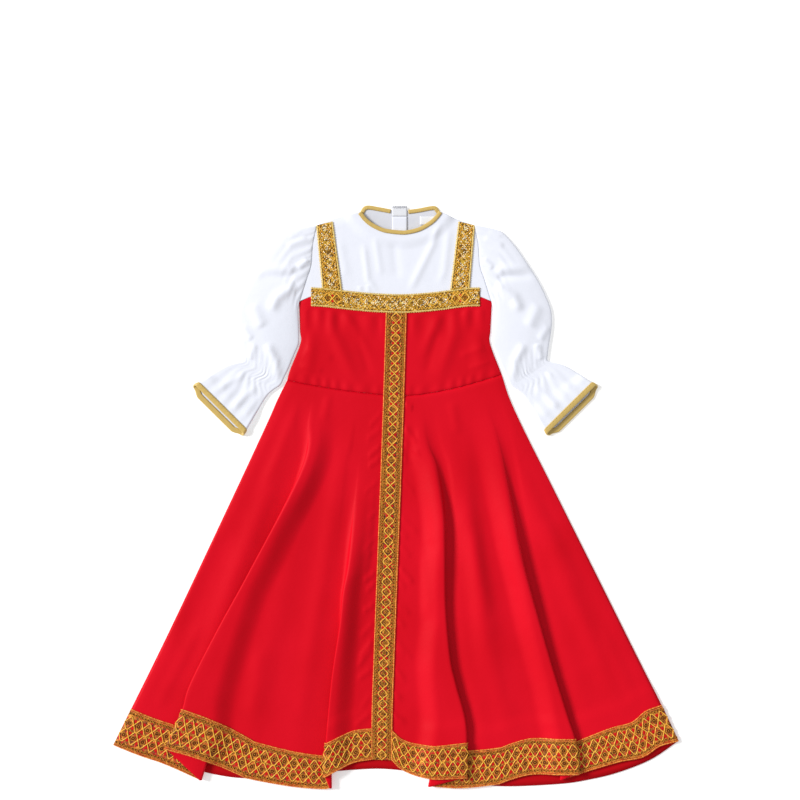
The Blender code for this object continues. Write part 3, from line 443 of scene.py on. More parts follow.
class Nodes:
    """Makes and joins the nodes of one tree."""

    def __init__(self, tree: bpy.types.NodeTree) -> None:
        """Keeps the tree."""
        self.tree = tree

    def add(self, kind: str, inputs: dict[str, object] | None = None, **settings: object) -> Sockets:
        """Adds one node, with its settings, and its inputs set or joined by name.

        Args:
            kind: the node's type.
            inputs: a value or another node's output for each named input.
            settings: the node's own properties.

        Returns:
            The node's outputs.
        """
        node = self.tree.nodes.new(kind)
        for name, value in settings.items():
            setattr(node, name, value)
        for name, value in (inputs or {}).items():
            self.put(value, node.inputs[name])
        return node.outputs

    def group(self, name: str, inputs: dict[str, object]) -> Sockets:
        """Adds a shared group's node, with its own values."""
        return self.add("ShaderNodeGroup", inputs, node_tree=GROUPS[name])

    def bump(self, height: object, strength: float, depth: float, under: object = None) -> object:
        """Normal that a height of this depth in metres gives, over another bump's normal or none."""
        inputs = {"Height": height, "Strength": strength, "Distance": depth}
        if under:
            inputs["Normal"] = under
        return self.add("ShaderNodeBump", inputs)["Normal"]

    def put(self, value: object, socket: bpy.types.NodeSocket) -> None:
        """Joins an output to an input, or sets the input's value."""
        if isinstance(value, bpy.types.NodeSocket):
            self.tree.links.new(value, socket)
        else:
            socket.default_value = value

    def math(self, operation: str, *values: object) -> bpy.types.NodeSocket:
        """Output of a Math node on up to three values."""
        node = self.tree.nodes.new("ShaderNodeMath")
        node.operation = operation
        for value, socket in zip(values, node.inputs):
            self.put(value, socket)
        return node.outputs[0]

    def ramp(self, value: object, low: float, high: float) -> bpy.types.NodeSocket:
        """0 below low, 1 above high and an even S between."""
        return self.add("ShaderNodeMapRange", {"Value": value, "From Min": low, "From Max": high},
                        interpolation_type="SMOOTHSTEP")["Result"]

    def mix(self, factor: object, first: object, second: object) -> bpy.types.NodeSocket:
        """Colour between two colours."""
        node = self.tree.nodes.new("ShaderNodeMix")
        node.data_type = "RGBA"
        for value, index in ((factor, 0), (first, 6), (second, 7)):
            self.put(value, node.inputs[index])
        return node.outputs[2]


def new_group(name: str, inputs: dict[str, str], outputs: dict[str, str]) -> tuple[Nodes, Sockets, Sockets]:
    """An empty node group with named sockets.

    Args:
        name: the group's name.
        inputs: socket type of each input.
        outputs: socket type of each output.

    Returns:
        The node maker, what the group is given, and where its results go.
    """
    tree = bpy.data.node_groups.new(name, "ShaderNodeTree")
    for label, kind in inputs.items():
        tree.interface.new_socket(label, in_out="INPUT", socket_type=kind)
    for label, kind in outputs.items():
        tree.interface.new_socket(label, in_out="OUTPUT", socket_type=kind)
    made = Nodes(tree)
    return made, made.add("NodeGroupInput"), tree.nodes.new("NodeGroupOutput").inputs


def weave_group() -> bpy.types.NodeTree:
    """Group that gives a weave's height: warp and weft waves, the one up where the other is down."""
    made, given, result = new_group(
        "weave", {"UV": "NodeSocketVector", "Threads": "NodeSocketFloat", "Slant": "NodeSocketFloat"},
        {"Height": "NodeSocketFloat"})
    parts = made.add("ShaderNodeSeparateXYZ", {"Vector": given["UV"]})
    u = made.math("MULTIPLY", parts["X"], given["Threads"])
    v = made.math("MULTIPLY", parts["Y"], given["Threads"])
    lean = made.math("MULTIPLY_ADD", v, given["Slant"], u)
    warp = made.math("SINE", made.math("MULTIPLY", lean, 2 * PI))
    weft = made.math("SINE", made.math("MULTIPLY", v, 2 * PI))
    made.put(made.math("MULTIPLY_ADD", made.math("MULTIPLY", warp, weft), 0.5, 0.5), result["Height"])
    return made.tree


def rumple_group() -> bpy.types.NodeTree:
    """Group that gives the slow unevenness of cloth: a tone and a height, from two sizes of noise."""
    made, given, result = new_group(
        "rumple", {"Position": "NodeSocketVector", "Scale": "NodeSocketFloat"},
        {"Tone": "NodeSocketFloat", "Height": "NodeSocketFloat"})
    slow = made.add("ShaderNodeTexNoise", {"Vector": given["Position"], "Scale": SLOW_NOISE, "Detail": 2})
    quick = made.add("ShaderNodeTexNoise", {"Vector": given["Position"],
                                            "Scale": given["Scale"], "Detail": 3})
    made.put(made.ramp(slow["Fac"], *TONE_RANGE), result["Tone"])
    made.put(quick["Fac"], result["Height"])
    return made.tree


def lace_group() -> bpy.types.NodeTree:
    """Group that draws lace cells on a strip: a number of its own for each cell, and the ring round it."""
    made, given, result = new_group(
        "lace", {"UV": "NodeSocketVector", "Scale": "NodeSocketFloat", "Uneven": "NodeSocketFloat"},
        {"Cell": "NodeSocketFloat", "Ring": "NodeSocketFloat"})
    cells = made.add("ShaderNodeTexVoronoi", {"Vector": given["UV"], "Scale": given["Scale"],
                                              "Randomness": given["Uneven"]})
    parts = made.add("ShaderNodeSeparateColor", {"Color": cells["Color"]})
    made.put(parts["Red"], result["Cell"])
    inner = made.ramp(cells["Distance"], *RING_INSIDE)
    outer = made.ramp(cells["Distance"], *RING_OUTSIDE)
    made.put(made.math("MULTIPLY", inner, outer), result["Ring"])
    return made.tree


def twist_group() -> bpy.types.NodeTree:
    """Group that gives a twisted thread's height: a wave that climbs round the cord."""
    made, given, result = new_group("twist", {"UV": "NodeSocketVector", "Turns": "NodeSocketFloat"},
                                    {"Height": "NodeSocketFloat"})
    parts = made.add("ShaderNodeSeparateXYZ", {"Vector": given["UV"]})
    turn = made.math("MULTIPLY_ADD", parts["Y"], given["Turns"], made.math("MULTIPLY", parts["X"], 2))
    made.put(made.math("MULTIPLY_ADD", made.math("SINE", made.math("MULTIPLY", turn, 2 * PI)), 0.5, 0.5),
             result["Height"])
    return made.tree


GROUPS = {"weave": weave_group(), "rumple": rumple_group(), "lace": lace_group(), "twist": twist_group()}


def new_material(name: str, roughness: float, metallic: float,
                 gloss: float) -> tuple[bpy.types.Material, Nodes, Sockets]:
    """A material with its plain values set on the shader itself.

    Args:
        name: the material's name.
        roughness: the shader's roughness.
        metallic: the shader's metallic value.
        gloss: the shader's specular level, 0.5 for an ordinary surface.

    Returns:
        The material, its node maker and its shader's inputs.
    """
    made = bpy.data.materials.new(name)
    made.use_nodes = True
    shader = made.node_tree.nodes["Principled BSDF"].inputs
    for label, value in (("Roughness", roughness), ("Metallic", metallic), ("Specular IOR Level", gloss)):
        shader[label].default_value = value
    return made, Nodes(made.node_tree), shader


Colour = tuple[float, float, float, float]


@dataclass(frozen=True)
class Finish:
    """A finish that makes its material once."""

    name: str

    def material(self) -> bpy.types.Material:
        """The finish's material, made the first time that it is asked for."""
        return bpy.data.materials.get(self.name) or self.make()

    def make(self) -> bpy.types.Material:
        """Makes the material, which each kind of finish does in its own way."""
        raise NotImplementedError


@dataclass(frozen=True)
class ClothFinish(Finish):
    """Woven cloth: two tones mixed by slow noise, a fine weave and a faint rumple."""

    light: Colour
    dark: Colour
    roughness: float
    gloss: float
    threads: float
    slant: float
    weave_depth: float
    rumple_depth: float
    weave_strength: float = 0.5
    rumple_strength: float = 0.35

    def make(self) -> bpy.types.Material:
        """Makes the material: the rumple's bump under the weave's."""
        material, made, shader = new_material(self.name, self.roughness, 0, self.gloss)
        uv = made.add("ShaderNodeUVMap", uv_map="cloth")
        place = made.add("ShaderNodeTexCoord")
        rumple = made.group("rumple", {"Position": place["Object"], "Scale": RUMPLE_NOISE})
        weave = made.group("weave", {"UV": uv["UV"], "Threads": self.threads, "Slant": self.slant})
        made.put(made.mix(rumple["Tone"], self.dark, self.light), shader["Base Color"])
        soft = made.bump(rumple["Height"], self.rumple_strength, self.rumple_depth)
        made.put(made.bump(weave["Height"], self.weave_strength, self.weave_depth, soft), shader["Normal"])
        return material


@dataclass(frozen=True)
class LaceFinish(Finish):
    """A lace strip's embroidered net: cells in several tones, each with a ring of thread."""

    thread: Colour
    tones: tuple[tuple[float, Colour], ...]
    roughness: float
    scale: float
    uneven: float
    ring: float
    gloss: float = 0.35
    ring_strength: float = 0.8
    ring_depth: float = 0.0005

    def make(self) -> bpy.types.Material:
        """Makes the material: a tone for each cell by steps, and the rings mixed in and raised."""
        material, made, shader = new_material(self.name, self.roughness, 0, self.gloss)
        uv = made.add("ShaderNodeUVMap", uv_map="cloth")
        lace = made.group("lace", {"UV": uv["UV"], "Scale": self.scale, "Uneven": self.uneven})
        tones = made.add("ShaderNodeValToRGB", {"Fac": lace["Cell"]})
        steps = tones["Color"].node.color_ramp
        steps.interpolation = "CONSTANT"
        while len(steps.elements) < len(self.tones):
            steps.elements.new(1)
        for stop, (start, colour) in zip(steps.elements, self.tones):
            stop.position = start
            stop.color = colour
        ring = made.math("MULTIPLY", lace["Ring"], self.ring)
        made.put(made.mix(ring, tones["Color"], self.thread), shader["Base Color"])
        made.put(made.bump(lace["Ring"], self.ring_strength, self.ring_depth), shader["Normal"])
        return material


@dataclass(frozen=True)
class ThreadFinish(Finish):
    """Metallic or plain thread of cords, rings, beads and stitches."""

    light: Colour
    dark: Colour
    roughness: float
    metallic: float
    gloss: float = 0.15
    turns: float = 500
    twist_strength: float = 0.6
    twist_depth: float = 0.0002

    def make(self) -> bpy.types.Material:
        """Makes the material: two tones mixed by fine noise, and the twist's bump."""
        material, made, shader = new_material(self.name, self.roughness, self.metallic, self.gloss)
        uv = made.add("ShaderNodeUVMap", uv_map="cloth")
        twist = made.group("twist", {"UV": uv["UV"], "Turns": self.turns})
        place = made.add("ShaderNodeTexCoord")
        glint = made.add("ShaderNodeTexNoise", {"Vector": place["Object"], "Scale": GLINT_NOISE})
        tone = made.ramp(glint["Fac"], *GLINT_RANGE)
        made.put(made.mix(tone, self.dark, self.light), shader["Base Color"])
        made.put(made.bump(twist["Height"], self.twist_strength, self.twist_depth), shader["Normal"])
        return material


RED_CLOTH = ClothFinish("red_polyester", (0.68, 0.0030, 0.0150, 1), (0.62, 0.0020, 0.0110, 1),
                        0.50, 0.07, 1400, 0.5, 0.00006, 0.0012)
RED_INSIDE = ClothFinish("red_wrong_side", (0.50, 0.003, 0.008, 1), (0.44, 0.002, 0.006, 1), 0.75, 0.06,
                         1400, 0.5, 0.00006, 0.0010)
WHITE_CLOTH = ClothFinish("white_poplin", (0.82, 0.84, 0.925, 1), (0.80, 0.82, 0.905, 1), 0.80, 0.12,
                          1800, 0, 0.00005, 0.0011)
GOLD_SATIN = ClothFinish("gold_satin", (0.84, 0.66, 0.28, 1), (0.58, 0.42, 0.12, 1), 0.26, 0.70,
                         1500, 0.9, 0.00005, 0.0012)
# Darker, greyer copy of the white cloth for the yoke's back halves: painted shade where the front shades the
# inside that shows at the neck
WHITE_PAINTED_SHADE = ClothFinish("white_cloth_painted_shade", (0.70, 0.71, 0.77, 1), (0.67, 0.68, 0.74, 1), 0.80, 0.10,
                           1800, 0, 0.00005, 0.0011)
WHITE_TAPE = ClothFinish("hook_tape", (0.80, 0.81, 0.85, 1), (0.70, 0.71, 0.75, 1), 0.90, 0.15,
                         700, 0.3, 0.00025, 0.0010)
LABEL_SATIN = ClothFinish("label_satin", (0.86, 0.87, 0.90, 1), (0.82, 0.83, 0.87, 1), 0.45, 0.30,
                          1200, 0, 0.00004, 0.0006)
CENTRE_NET = LaceFinish("centre_lace_net", (0.62, 0.25, 0.035, 1), (
    (0, (0.10, 0.018, 0.004, 1)), (0.34, (0.48, 0.014, 0.008, 1)), (0.54, (0.34, 0.11, 0.014, 1)),
    (0.80, (0.68, 0.30, 0.035, 1))), 0.60, 300, 0.55, 0.55)
HEM_NET = LaceFinish("hem_lace_net", (0.68, 0.25, 0.035, 1), (
    (0, (0.14, 0.018, 0.004, 1)), (0.28, (0.56, 0.012, 0.008, 1)), (0.54, (0.38, 0.11, 0.013, 1)),
    (0.80, (0.76, 0.30, 0.032, 1))), 0.60, 300, 0.55, 0.50)
BRIGHT_NET = LaceFinish("bright_lace_net", (0.56, 0.32, 0.025, 1), (
    (0, (0.13, 0.050, 0.002, 1)), (0.40, (0.36, 0.18, 0.008, 1)), (0.70, (0.66, 0.40, 0.04, 1)),
    (0.93, (0.92, 0.78, 0.40, 1))), 0.42, 360, 0.8, 0.30)
GOLD_THREAD = ThreadFinish("gold_thread", (1, 0.62, 0.10, 1), (0.84, 0.38, 0.035, 1), 0.40, 0.08)
EDGE_THREAD = ThreadFinish("orange_gold_thread", (0.88, 0.36, 0.07, 1), (0.56, 0.09, 0.012, 1), 0.45, 0.05)
RING_THREAD = ThreadFinish("brown_gold_thread", (0.70, 0.34, 0.04, 1), (0.34, 0.10, 0.010, 1), 0.45, 0.10)
DARK_THREAD = ThreadFinish("dark_brown_thread", (0.17, 0.030, 0.004, 1), (0.08, 0.010, 0.002, 1), 0.60, 0)
RED_THREAD = ThreadFinish("red_thread", (0.66, 0.010, 0.010, 1), (0.48, 0.006, 0.006, 1), 0.55, 0)
PALE_THREAD = ThreadFinish("pale_gold_thread", (0.93, 0.74, 0.30, 1), (0.66, 0.42, 0.08, 1), 0.38, 0.10)
# Near-white beads: their colour is a painted glint, standing in for the sparkle of the trim's beads
PAINTED_GLINT_BEAD = ThreadFinish("bead_painted_glint", (1, 0.95, 0.78, 1), (1, 0.80, 0.42, 1), 0.15, 0, 0.8)
WHITE_THREAD = ThreadFinish("white_thread", (0.82, 0.83, 0.88, 1), (0.74, 0.75, 0.80, 1), 0.60, 0)
STITCH_THREAD = ThreadFinish("binding_stitch", (0.66, 0.47, 0.16, 1), (0.50, 0.34, 0.10, 1), 0.45, 0.10)


# Meshes


def enter(piece: bpy.types.Object, slot: Slot, *nodes: str) -> bpy.types.Object:
    """Ties a finished piece to the dress and hides the solids that it stands for."""
    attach(piece, "root")
    if nodes:
        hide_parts(*nodes)
    log.info("made %s: %d faces", piece.name, len(piece.data.polygons))
    return piece


def surface_lengths(grid: Array) -> tuple[Array, Array]:
    """Distance along each row and down each column of a grid."""
    across = np.cumsum(np.linalg.norm(np.diff(grid, axis=1, prepend=grid[:, :1]), axis=2), axis=1)
    down = np.cumsum(np.linalg.norm(np.diff(grid, axis=0, prepend=grid[:1]), axis=2), axis=0)
    return across - across[:, across.shape[1] // 2:across.shape[1] // 2 + 1], down


def new_piece(name: str, vertices: Array, faces: list[list[int]], uv: Array,
              finish: Finish) -> bpy.types.Object:
    """A mesh object from points in millimetres, faces, and a uv place for each corner of each face."""
    mesh = bpy.data.meshes.new(name)
    mesh.from_pydata((vertices * MM).tolist(), [], faces)
    mesh.uv_layers.new(name="cloth").data.foreach_set("uv", uv.reshape(-1))
    mesh.shade_smooth()
    mesh.materials.append(finish.material())
    piece = bpy.data.objects.new(name, mesh)
    bpy.context.collection.objects.link(piece)
    return piece


def sheet_mesh(name: str, grid: Array, finish: Finish, thickness: float = CLOTH, closed: bool = False,
               run: Run | None = None) -> bpy.types.Object:
    """A thin shell on a grid: a wall of the given thickness round the grid's surface.

    Args:
        name: the piece's name.
        grid: rows, columns and xyz.
        finish: its cloth.
        thickness: its wall.
        closed: whether each row closes into a ring.
        run: None for cloth. For lace, the way that the strip runs.

    Returns:
        The piece.
    """
    rows, columns = grid.shape[:2]
    index = np.arange(rows * columns).reshape(rows, columns)
    across, down = surface_lengths(grid)
    if closed:
        index = np.concatenate([index, index[:, :1]], axis=1)
        last = np.linalg.norm(grid[:, 0] - grid[:, -1], axis=1)
        across = np.concatenate([across, (across[:, -1] + last)[:, None]], axis=1)
        down = np.concatenate([down, down[:, :1]], axis=1)
    if run is Run.DOWN:
        across, down = down[:, :1] + np.zeros(down.shape), across - across[:, :1]
    elif run is Run.ACROSS:
        across = across[across.shape[0] // 2] + np.zeros(across.shape)
    corners = [(slice(None, -1), slice(None, -1)), (slice(1, None), slice(None, -1)),
               (slice(1, None), slice(1, None)), (slice(None, -1), slice(1, None))]
    quads = np.stack([index[corner] for corner in corners], axis=-1).reshape(-1, 4)
    uv = np.stack([np.stack([across[corner], down[corner]], axis=-1) for corner in corners], axis=-2)
    piece = new_piece(name, grid.reshape(-1, 3), quads.tolist(), uv * MM, finish)
    wall = piece.modifiers.new("wall", "SOLIDIFY")
    wall.thickness = thickness * MM
    wall.offset = 0
    return piece


class Ribbon:
    """A trim's surface, on which thread is placed by distance along, share across and lift."""

    def __init__(self, grid: Array, run: Run) -> None:
        """Keeps the grid's points and normals with the trim's length as their first axis.

        Args:
            grid: the trim's points.
            run: the way that the trim runs on them.
        """
        order = (0, 1, 2) if run is Run.DOWN else (1, 0, 2)
        self.points = grid.transpose(order)
        self.up = normals(grid).transpose(order)
        self.reach = reach_along(self.points[:, self.points.shape[1] // 2])
        self.length = float(self.reach[-1])
        steps = np.linalg.norm(np.diff(self.points, axis=1), axis=2)
        self.width = float(steps.sum(axis=1).mean())

    def place(self, u: Array, v: Array, lift: Array | float) -> tuple[Array, Array]:
        """Points and normals at u along and v across in millimetres, between the nearest four points.

        Args:
            u: distance along.
            v: distance across, below 0 or above the width outside an edge.
            lift: height over the trim's middle.

        Returns:
            The points and the normals there.
        """
        u, v, lift = np.broadcast_arrays(u, v, lift)
        row = np.interp(u, self.reach, np.arange(len(self.reach)))
        column = v / self.width * (self.points.shape[1] - 1)
        i = np.clip(np.floor(row).astype(int), 0, self.points.shape[0] - 2)
        j = np.clip(np.floor(column).astype(int), 0, self.points.shape[1] - 2)
        f, g = (row - i)[..., None], (column - j)[..., None]
        weights = ((0, 0, (1 - f) * (1 - g)), (1, 0, f * (1 - g)), (0, 1, (1 - f) * g), (1, 1, f * g))
        point = sum(self.points[i + a, j + b] * w for a, b, w in weights)
        up = unit(sum(self.up[i + a, j + b] * w for a, b, w in weights))
        return point + up * lift[..., None], up


class Needlework:
    """Cords, rings, beads and stitches, joined into one mesh."""

    askew = (0.31, 0.95, 0.05)
    waist_radius = 0.72
    waist_height = 0.68

    def __init__(self) -> None:
        """Starts with nothing."""
        self.vertices: list[Array] = []
        self.faces: list[list[int]] = []
        self.uvs: list[Array] = []
        self.count = 0

    def cords(self, points: Array, up: Array, radius: float | Array, sides: int = 5, closed: bool = False,
              flat: float = 1) -> None:
        """Tubes round paths: at each point a ring of sides in the plane across the path.

        Args:
            points: paths, points on each, xyz.
            up: the surface's normals there.
            radius: the tubes' radius, or one for each point of a path.
            sides: corners of a ring.
            closed: whether each path closes.
            flat: height of a ring over its width.
        """
        paths, steps = points.shape[:2]
        if closed:
            run = np.roll(points, -1, axis=1) - np.roll(points, 1, axis=1)
        else:
            run = np.gradient(points, axis=1)
        run = unit(run)
        side = unit(np.cross(run, up))
        out = np.cross(side, run)
        turn = (TURN * np.arange(sides) / sides)[:, None]
        size = np.broadcast_to(radius, (steps,))[None, :, None, None]
        round_ = np.cos(turn) * side[:, :, None] + flat * np.sin(turn) * out[:, :, None]
        ring = points[:, :, None] + size * round_
        index = self.count + np.arange(paths * steps * sides).reshape(paths, steps, sides)
        body = np.concatenate([index, index[:, :1]], axis=1) if closed else index
        body = np.concatenate([body, body[:, :, :1]], axis=2)
        quads = np.stack([body[:, :-1, :-1], body[:, 1:, :-1], body[:, 1:, 1:], body[:, :-1, 1:]], axis=-1)
        reach = np.cumsum(np.linalg.norm(np.diff(points, axis=1, prepend=points[:, :1]), axis=2), axis=1)
        if closed:
            reach = np.concatenate([reach, reach[:, -1:] + reach[:, 1:2]], axis=1)
        shares = np.arange(sides + 1) / sides
        u = np.broadcast_to(shares, (paths, body.shape[1], sides + 1))
        v = np.broadcast_to(reach[:, :, None] * MM, u.shape)
        uv = np.stack([u, v], axis=-1)
        loops = np.stack([uv[:, :-1, :-1], uv[:, 1:, :-1], uv[:, 1:, 1:], uv[:, :-1, 1:]], axis=-2)
        self.vertices.append(ring.reshape(-1, 3))
        self.faces.extend(quads.reshape(-1, 4).tolist())
        self.uvs.append(loops.reshape(-1, 2))
        self.count += paths * steps * sides
        if not closed:
            ends = np.concatenate([index[:, 0], index[:, -1, ::-1]])
            self.faces.extend(ends.tolist())
            self.uvs.append(np.zeros((ends.size, 2)))

    def beads(self, centres: Array, up: Array, radius: float, height: float, sides: int = 6) -> None:
        """Small domes: two rings, a tip and a flat base each.

        Args:
            centres: the domes' feet, xyz.
            up: the way each stands.
            radius: the foot's radius.
            height: the dome's height.
            sides: corners of a ring.
        """
        across = unit(np.cross(up, self.askew))
        other = np.cross(up, across)
        turn = (TURN * np.arange(sides) / sides)[None, :, None]
        round_ = np.cos(turn) * across[:, None] + np.sin(turn) * other[:, None]
        low = centres[:, None] + radius * round_
        high = (centres[:, None] + self.waist_radius * radius * round_
                + self.waist_height * height * up[:, None])
        tip = centres[:, None] + height * up[:, None]
        each = 2 * sides + 1
        index = self.count + np.arange(len(centres) * each).reshape(len(centres), each)
        a, b, c = index[:, :sides], index[:, sides:2 * sides], index[:, -1:]
        after_a, after_b = np.roll(a, -1, axis=1), np.roll(b, -1, axis=1)
        quads = np.stack([a, after_a, after_b, b], axis=-1).reshape(-1, 4)
        tips = np.stack([b, after_b, np.broadcast_to(c, b.shape)], axis=-1).reshape(-1, 3)
        self.vertices.append(np.concatenate([low, high, tip], axis=1).reshape(-1, 3))
        self.faces.extend(quads.tolist() + tips.tolist() + a[:, ::-1].tolist())
        self.uvs.append(np.zeros((quads.size + tips.size + a.size, 2)))
        self.count += len(centres) * each

    def piece(self, name: str, finish: ThreadFinish, slot: Slot) -> bpy.types.Object:
        """The joined mesh as a piece of the dress.

        Args:
            name: the piece's name.
            finish: its thread.
            slot: not used.

        Returns:
            The piece.
        """
        piece = new_piece(name, np.concatenate(self.vertices), self.faces, np.concatenate(self.uvs), finish)
        return enter(piece, slot)


# Skirt


FoldPath = tuple[Array, Array, Array]
Block = tuple[Array, Array, Array, Array, Array]


@dataclass
class Skirt:
    """Red flared skirt: a front with four knife folds at the hem and a flat back."""

    rows: int = 125
    trim_rows: int = 16
    back_columns: int = 121
    bend_steps: int = 6
    middle_steps: int = 3
    upper_bend: float = 1.7 * PI
    lower_bend: float = 3 * PI
    middle_least: float = 3
    drape: float = 34
    lift_length: float = 20
    band_lean: float = 20
    side_clear: float = 12
    band_clear: float = 5
    hem_clear: float = 0.06
    pucker_seed: int = 11
    pucker_top: float = 138
    pucker_end: float = -380
    pucker_gap: Span = (24, 44)
    pucker_stray: Span = (-9, 9)
    pucker_length: Span = (12, 30)
    pucker_fall: Span = (0.5, 1.4)
    pucker_height: Span = (0.7, 1.9)
    pucker_width: Span = (2.4, 4)
    pucker_inset: float = 1

    def __post_init__(self) -> None:
        """Works out the rows, the folds, the panels' sides and the front's points."""
        self.trim_top = 1 - HEM_TRIM / SKIRT_LENGTH
        self.t = np.append(np.linspace(0, self.trim_top, self.rows, endpoint=False),
                           np.linspace(self.trim_top, 1, self.trim_rows))
        self.folds = {name: self.fold_rows(fold, self.t[:, None]) for name, fold in FOLDS.items()}
        self.sides = self.panel_sides()
        self.front, self.spans = self.front_grid()

    def hem_lift(self, t: Array, lead: int) -> Array:
        """Height that a panel gains to clear the back trim, which it has lead lift lengths above
        the trim.
        """
        length = self.lift_length / SKIRT_LENGTH
        full = 1 - (HEM_TRIM + self.lift_length * lead) / SKIRT_LENGTH
        return LAYER * smooth((t - full + length) / length)

    def fold_rows(self, fold: Fold, t: Array) -> FoldPath:
        """A fold's x from left to right, its z over the lower layer, and its hidden tip's x, by row.

        The path turns down by up to half a circle, runs back and turns up again. Its upper bend is
        stretched sideways into a roll, more where the fold is full.

        Args:
            fold: the fold.
            t: places down the skirt, one row each.

        Returns:
            x and z of the path, and the tip's x.
        """
        turned = smooth((t - fold.starts) / (fold.flat - fold.starts))
        turn = PI * turned
        flat = fold.overlap - (self.upper_bend + self.lower_bend) / PI
        middle = self.middle_least + (flat - self.middle_least) * np.clip(
            (t - fold.flat) / (1 - fold.flat), 0, 1)
        n, m = self.bend_steps, self.middle_steps
        steps = (np.arange(n) + 0.5) / n
        ones = np.ones((len(t), 1))
        angles = np.concatenate([turn * steps, turn * np.ones(m), turn * (1 - steps)], axis=1)
        lengths = np.concatenate([ones * np.full(n, self.upper_bend / n), middle * np.full(m, 1 / m),
                                  ones * np.full(n, self.lower_bend / n)], axis=1)
        roll = 1 + (fold.roll - 1) * turned
        wide = np.concatenate([ones * roll * np.ones(n), np.ones((len(t), m + n))], axis=1)
        first = np.zeros((len(t), 1))
        x = np.concatenate([first, np.cumsum(lengths * np.cos(angles) * wide, axis=1)], axis=1)
        z = np.concatenate([first, -np.cumsum(lengths * np.sin(angles), axis=1)], axis=1)
        start = along(curved(fold.edge), t) - fold.faces * roll * self.upper_bend / PI
        x = start + fold.faces * x
        z = z - z[:, -1:]
        if fold.faces > 0:
            return x, z, np.maximum(x.min(axis=1, keepdims=True), start - fold.overlap)
        return x[:, ::-1], z[:, ::-1], np.minimum(x.max(axis=1, keepdims=True), start + fold.overlap)

    def band_edges(self, t: Array) -> tuple[Array, Array]:
        """x of the centre band's sides at t down the skirt."""
        y = WAIST_SEAM[0][1] + (HEM_BACK[0][1] - WAIST_SEAM[0][1]) * t
        left = x_at(BAND_LEFT, y - self.band_lean * (1 - t))
        return left, left + BAND_WIDTH

    def puckers(self) -> list[Crease]:
        """Small slanted wrinkles beside the centre band, uneven in length, depth and spacing."""
        random = np.random.default_rng(self.pucker_seed)
        made = []
        y = self.pucker_top
        while y > self.pucker_end:
            for side in (-1, 1):
                top = y + random.uniform(*self.pucker_stray)
                left = float(x_at(BAND_LEFT, top))
                edge = left - self.pucker_inset if side < 0 else left + BAND_WIDTH + self.pucker_inset
                length, fall = random.uniform(*self.pucker_length), random.uniform(*self.pucker_fall)
                line = [(edge, top), (edge + side * length, top - length * fall)]
                made.append(Crease(random.uniform(*self.pucker_height), random.uniform(*self.pucker_width),
                                   line))
            y -= random.uniform(*self.pucker_gap)
        return made

    def panel_sides(self) -> dict[str, tuple[Array, Array]]:
        """x of each panel's left and right side by row: the skirt's own sides, the folds and the band."""
        t = self.t[:, None]
        left, right = self.band_edges(t)
        ends = {name: (x[:, :1], x[:, -1:]) for name, (x, _, _) in self.folds.items()}
        sides = [along(SKIRT_LEFT, t), *ends["outer_left"], *ends["inner_left"], left, left, right, right,
                 *ends["inner_right"], *ends["outer_right"], along(SKIRT_RIGHT, t)]
        return dict(zip(SKIRT_ORDER, zip(sides[::2], sides[1::2])))

    def panel_block(self, name: str) -> Block:
        """One panel: x even between its sides, z rounded, raised by the fold beside it, and ridged.

        Args:
            name: the panel's name.

        Returns:
            x, z and the share of the creases by point, and the hem's y and the trim's depth by column.
        """
        t = self.t[:, None]
        start, end = self.sides[name]
        x = start + (end - start) * np.linspace(0, 1, SKIRT_COLUMNS[name] + 1)
        inset = np.minimum(x - self.sides["outer_left"][0], self.sides["outer_right"][1] - x)
        low, seam = FRONT_Z + self.hem_lift(t, 1), SEAM_Z + self.hem_lift(t, 1)
        z = seam + (low - seam) * rounded(inset)
        if name in RAISED_BY:
            _, fold_z, tip = self.folds[RAISED_BY[name]]
            beyond = (tip - x) * FOLDS[RAISED_BY[name]].faces
            z = z + fold_z.max(axis=1, keepdims=True) * (1 - smooth(beyond / self.drape))
        clear = smooth(np.minimum(x - start, end - x) / self.side_clear)
        if name == "centre_band":
            clear = np.zeros(x.shape)
        z = z + ridged(x, t, SKIRT_RIDGES) * clear
        return x, z, clear, y_at(HEM_FRONT[name], x[-1]), np.linspace(*TRIM_DEPTH[name], x.shape[1])

    def fold_block(self, name: str, hem: float) -> Block:
        """The fold after a panel, with its hem and trim blended into the next panel's along its middle.

        Args:
            name: the panel's name.
            hem: y of the hem at the panel's end.

        Returns:
            The same five arrays as a panel's.
        """
        x, z = (part[:, 1:] for part in self.folds[FOLD_AFTER[name]][:2])
        following = SKIRT_ORDER[SKIRT_ORDER.index(name) + 1]
        next_hem = y_at(HEM_FRONT[following], float(self.sides[following][0][-1, 0]))
        depth, next_depth = TRIM_DEPTH[name][1], TRIM_DEPTH[following][0]
        blend = np.clip((np.arange(1, x.shape[1] + 1) - self.bend_steps) / self.middle_steps, 0, 1)
        return (x, FRONT_Z + self.hem_lift(self.t[:, None], 1) + z, np.zeros(x.shape),
                hem + (next_hem - hem) * blend, depth + (next_depth - depth) * blend)

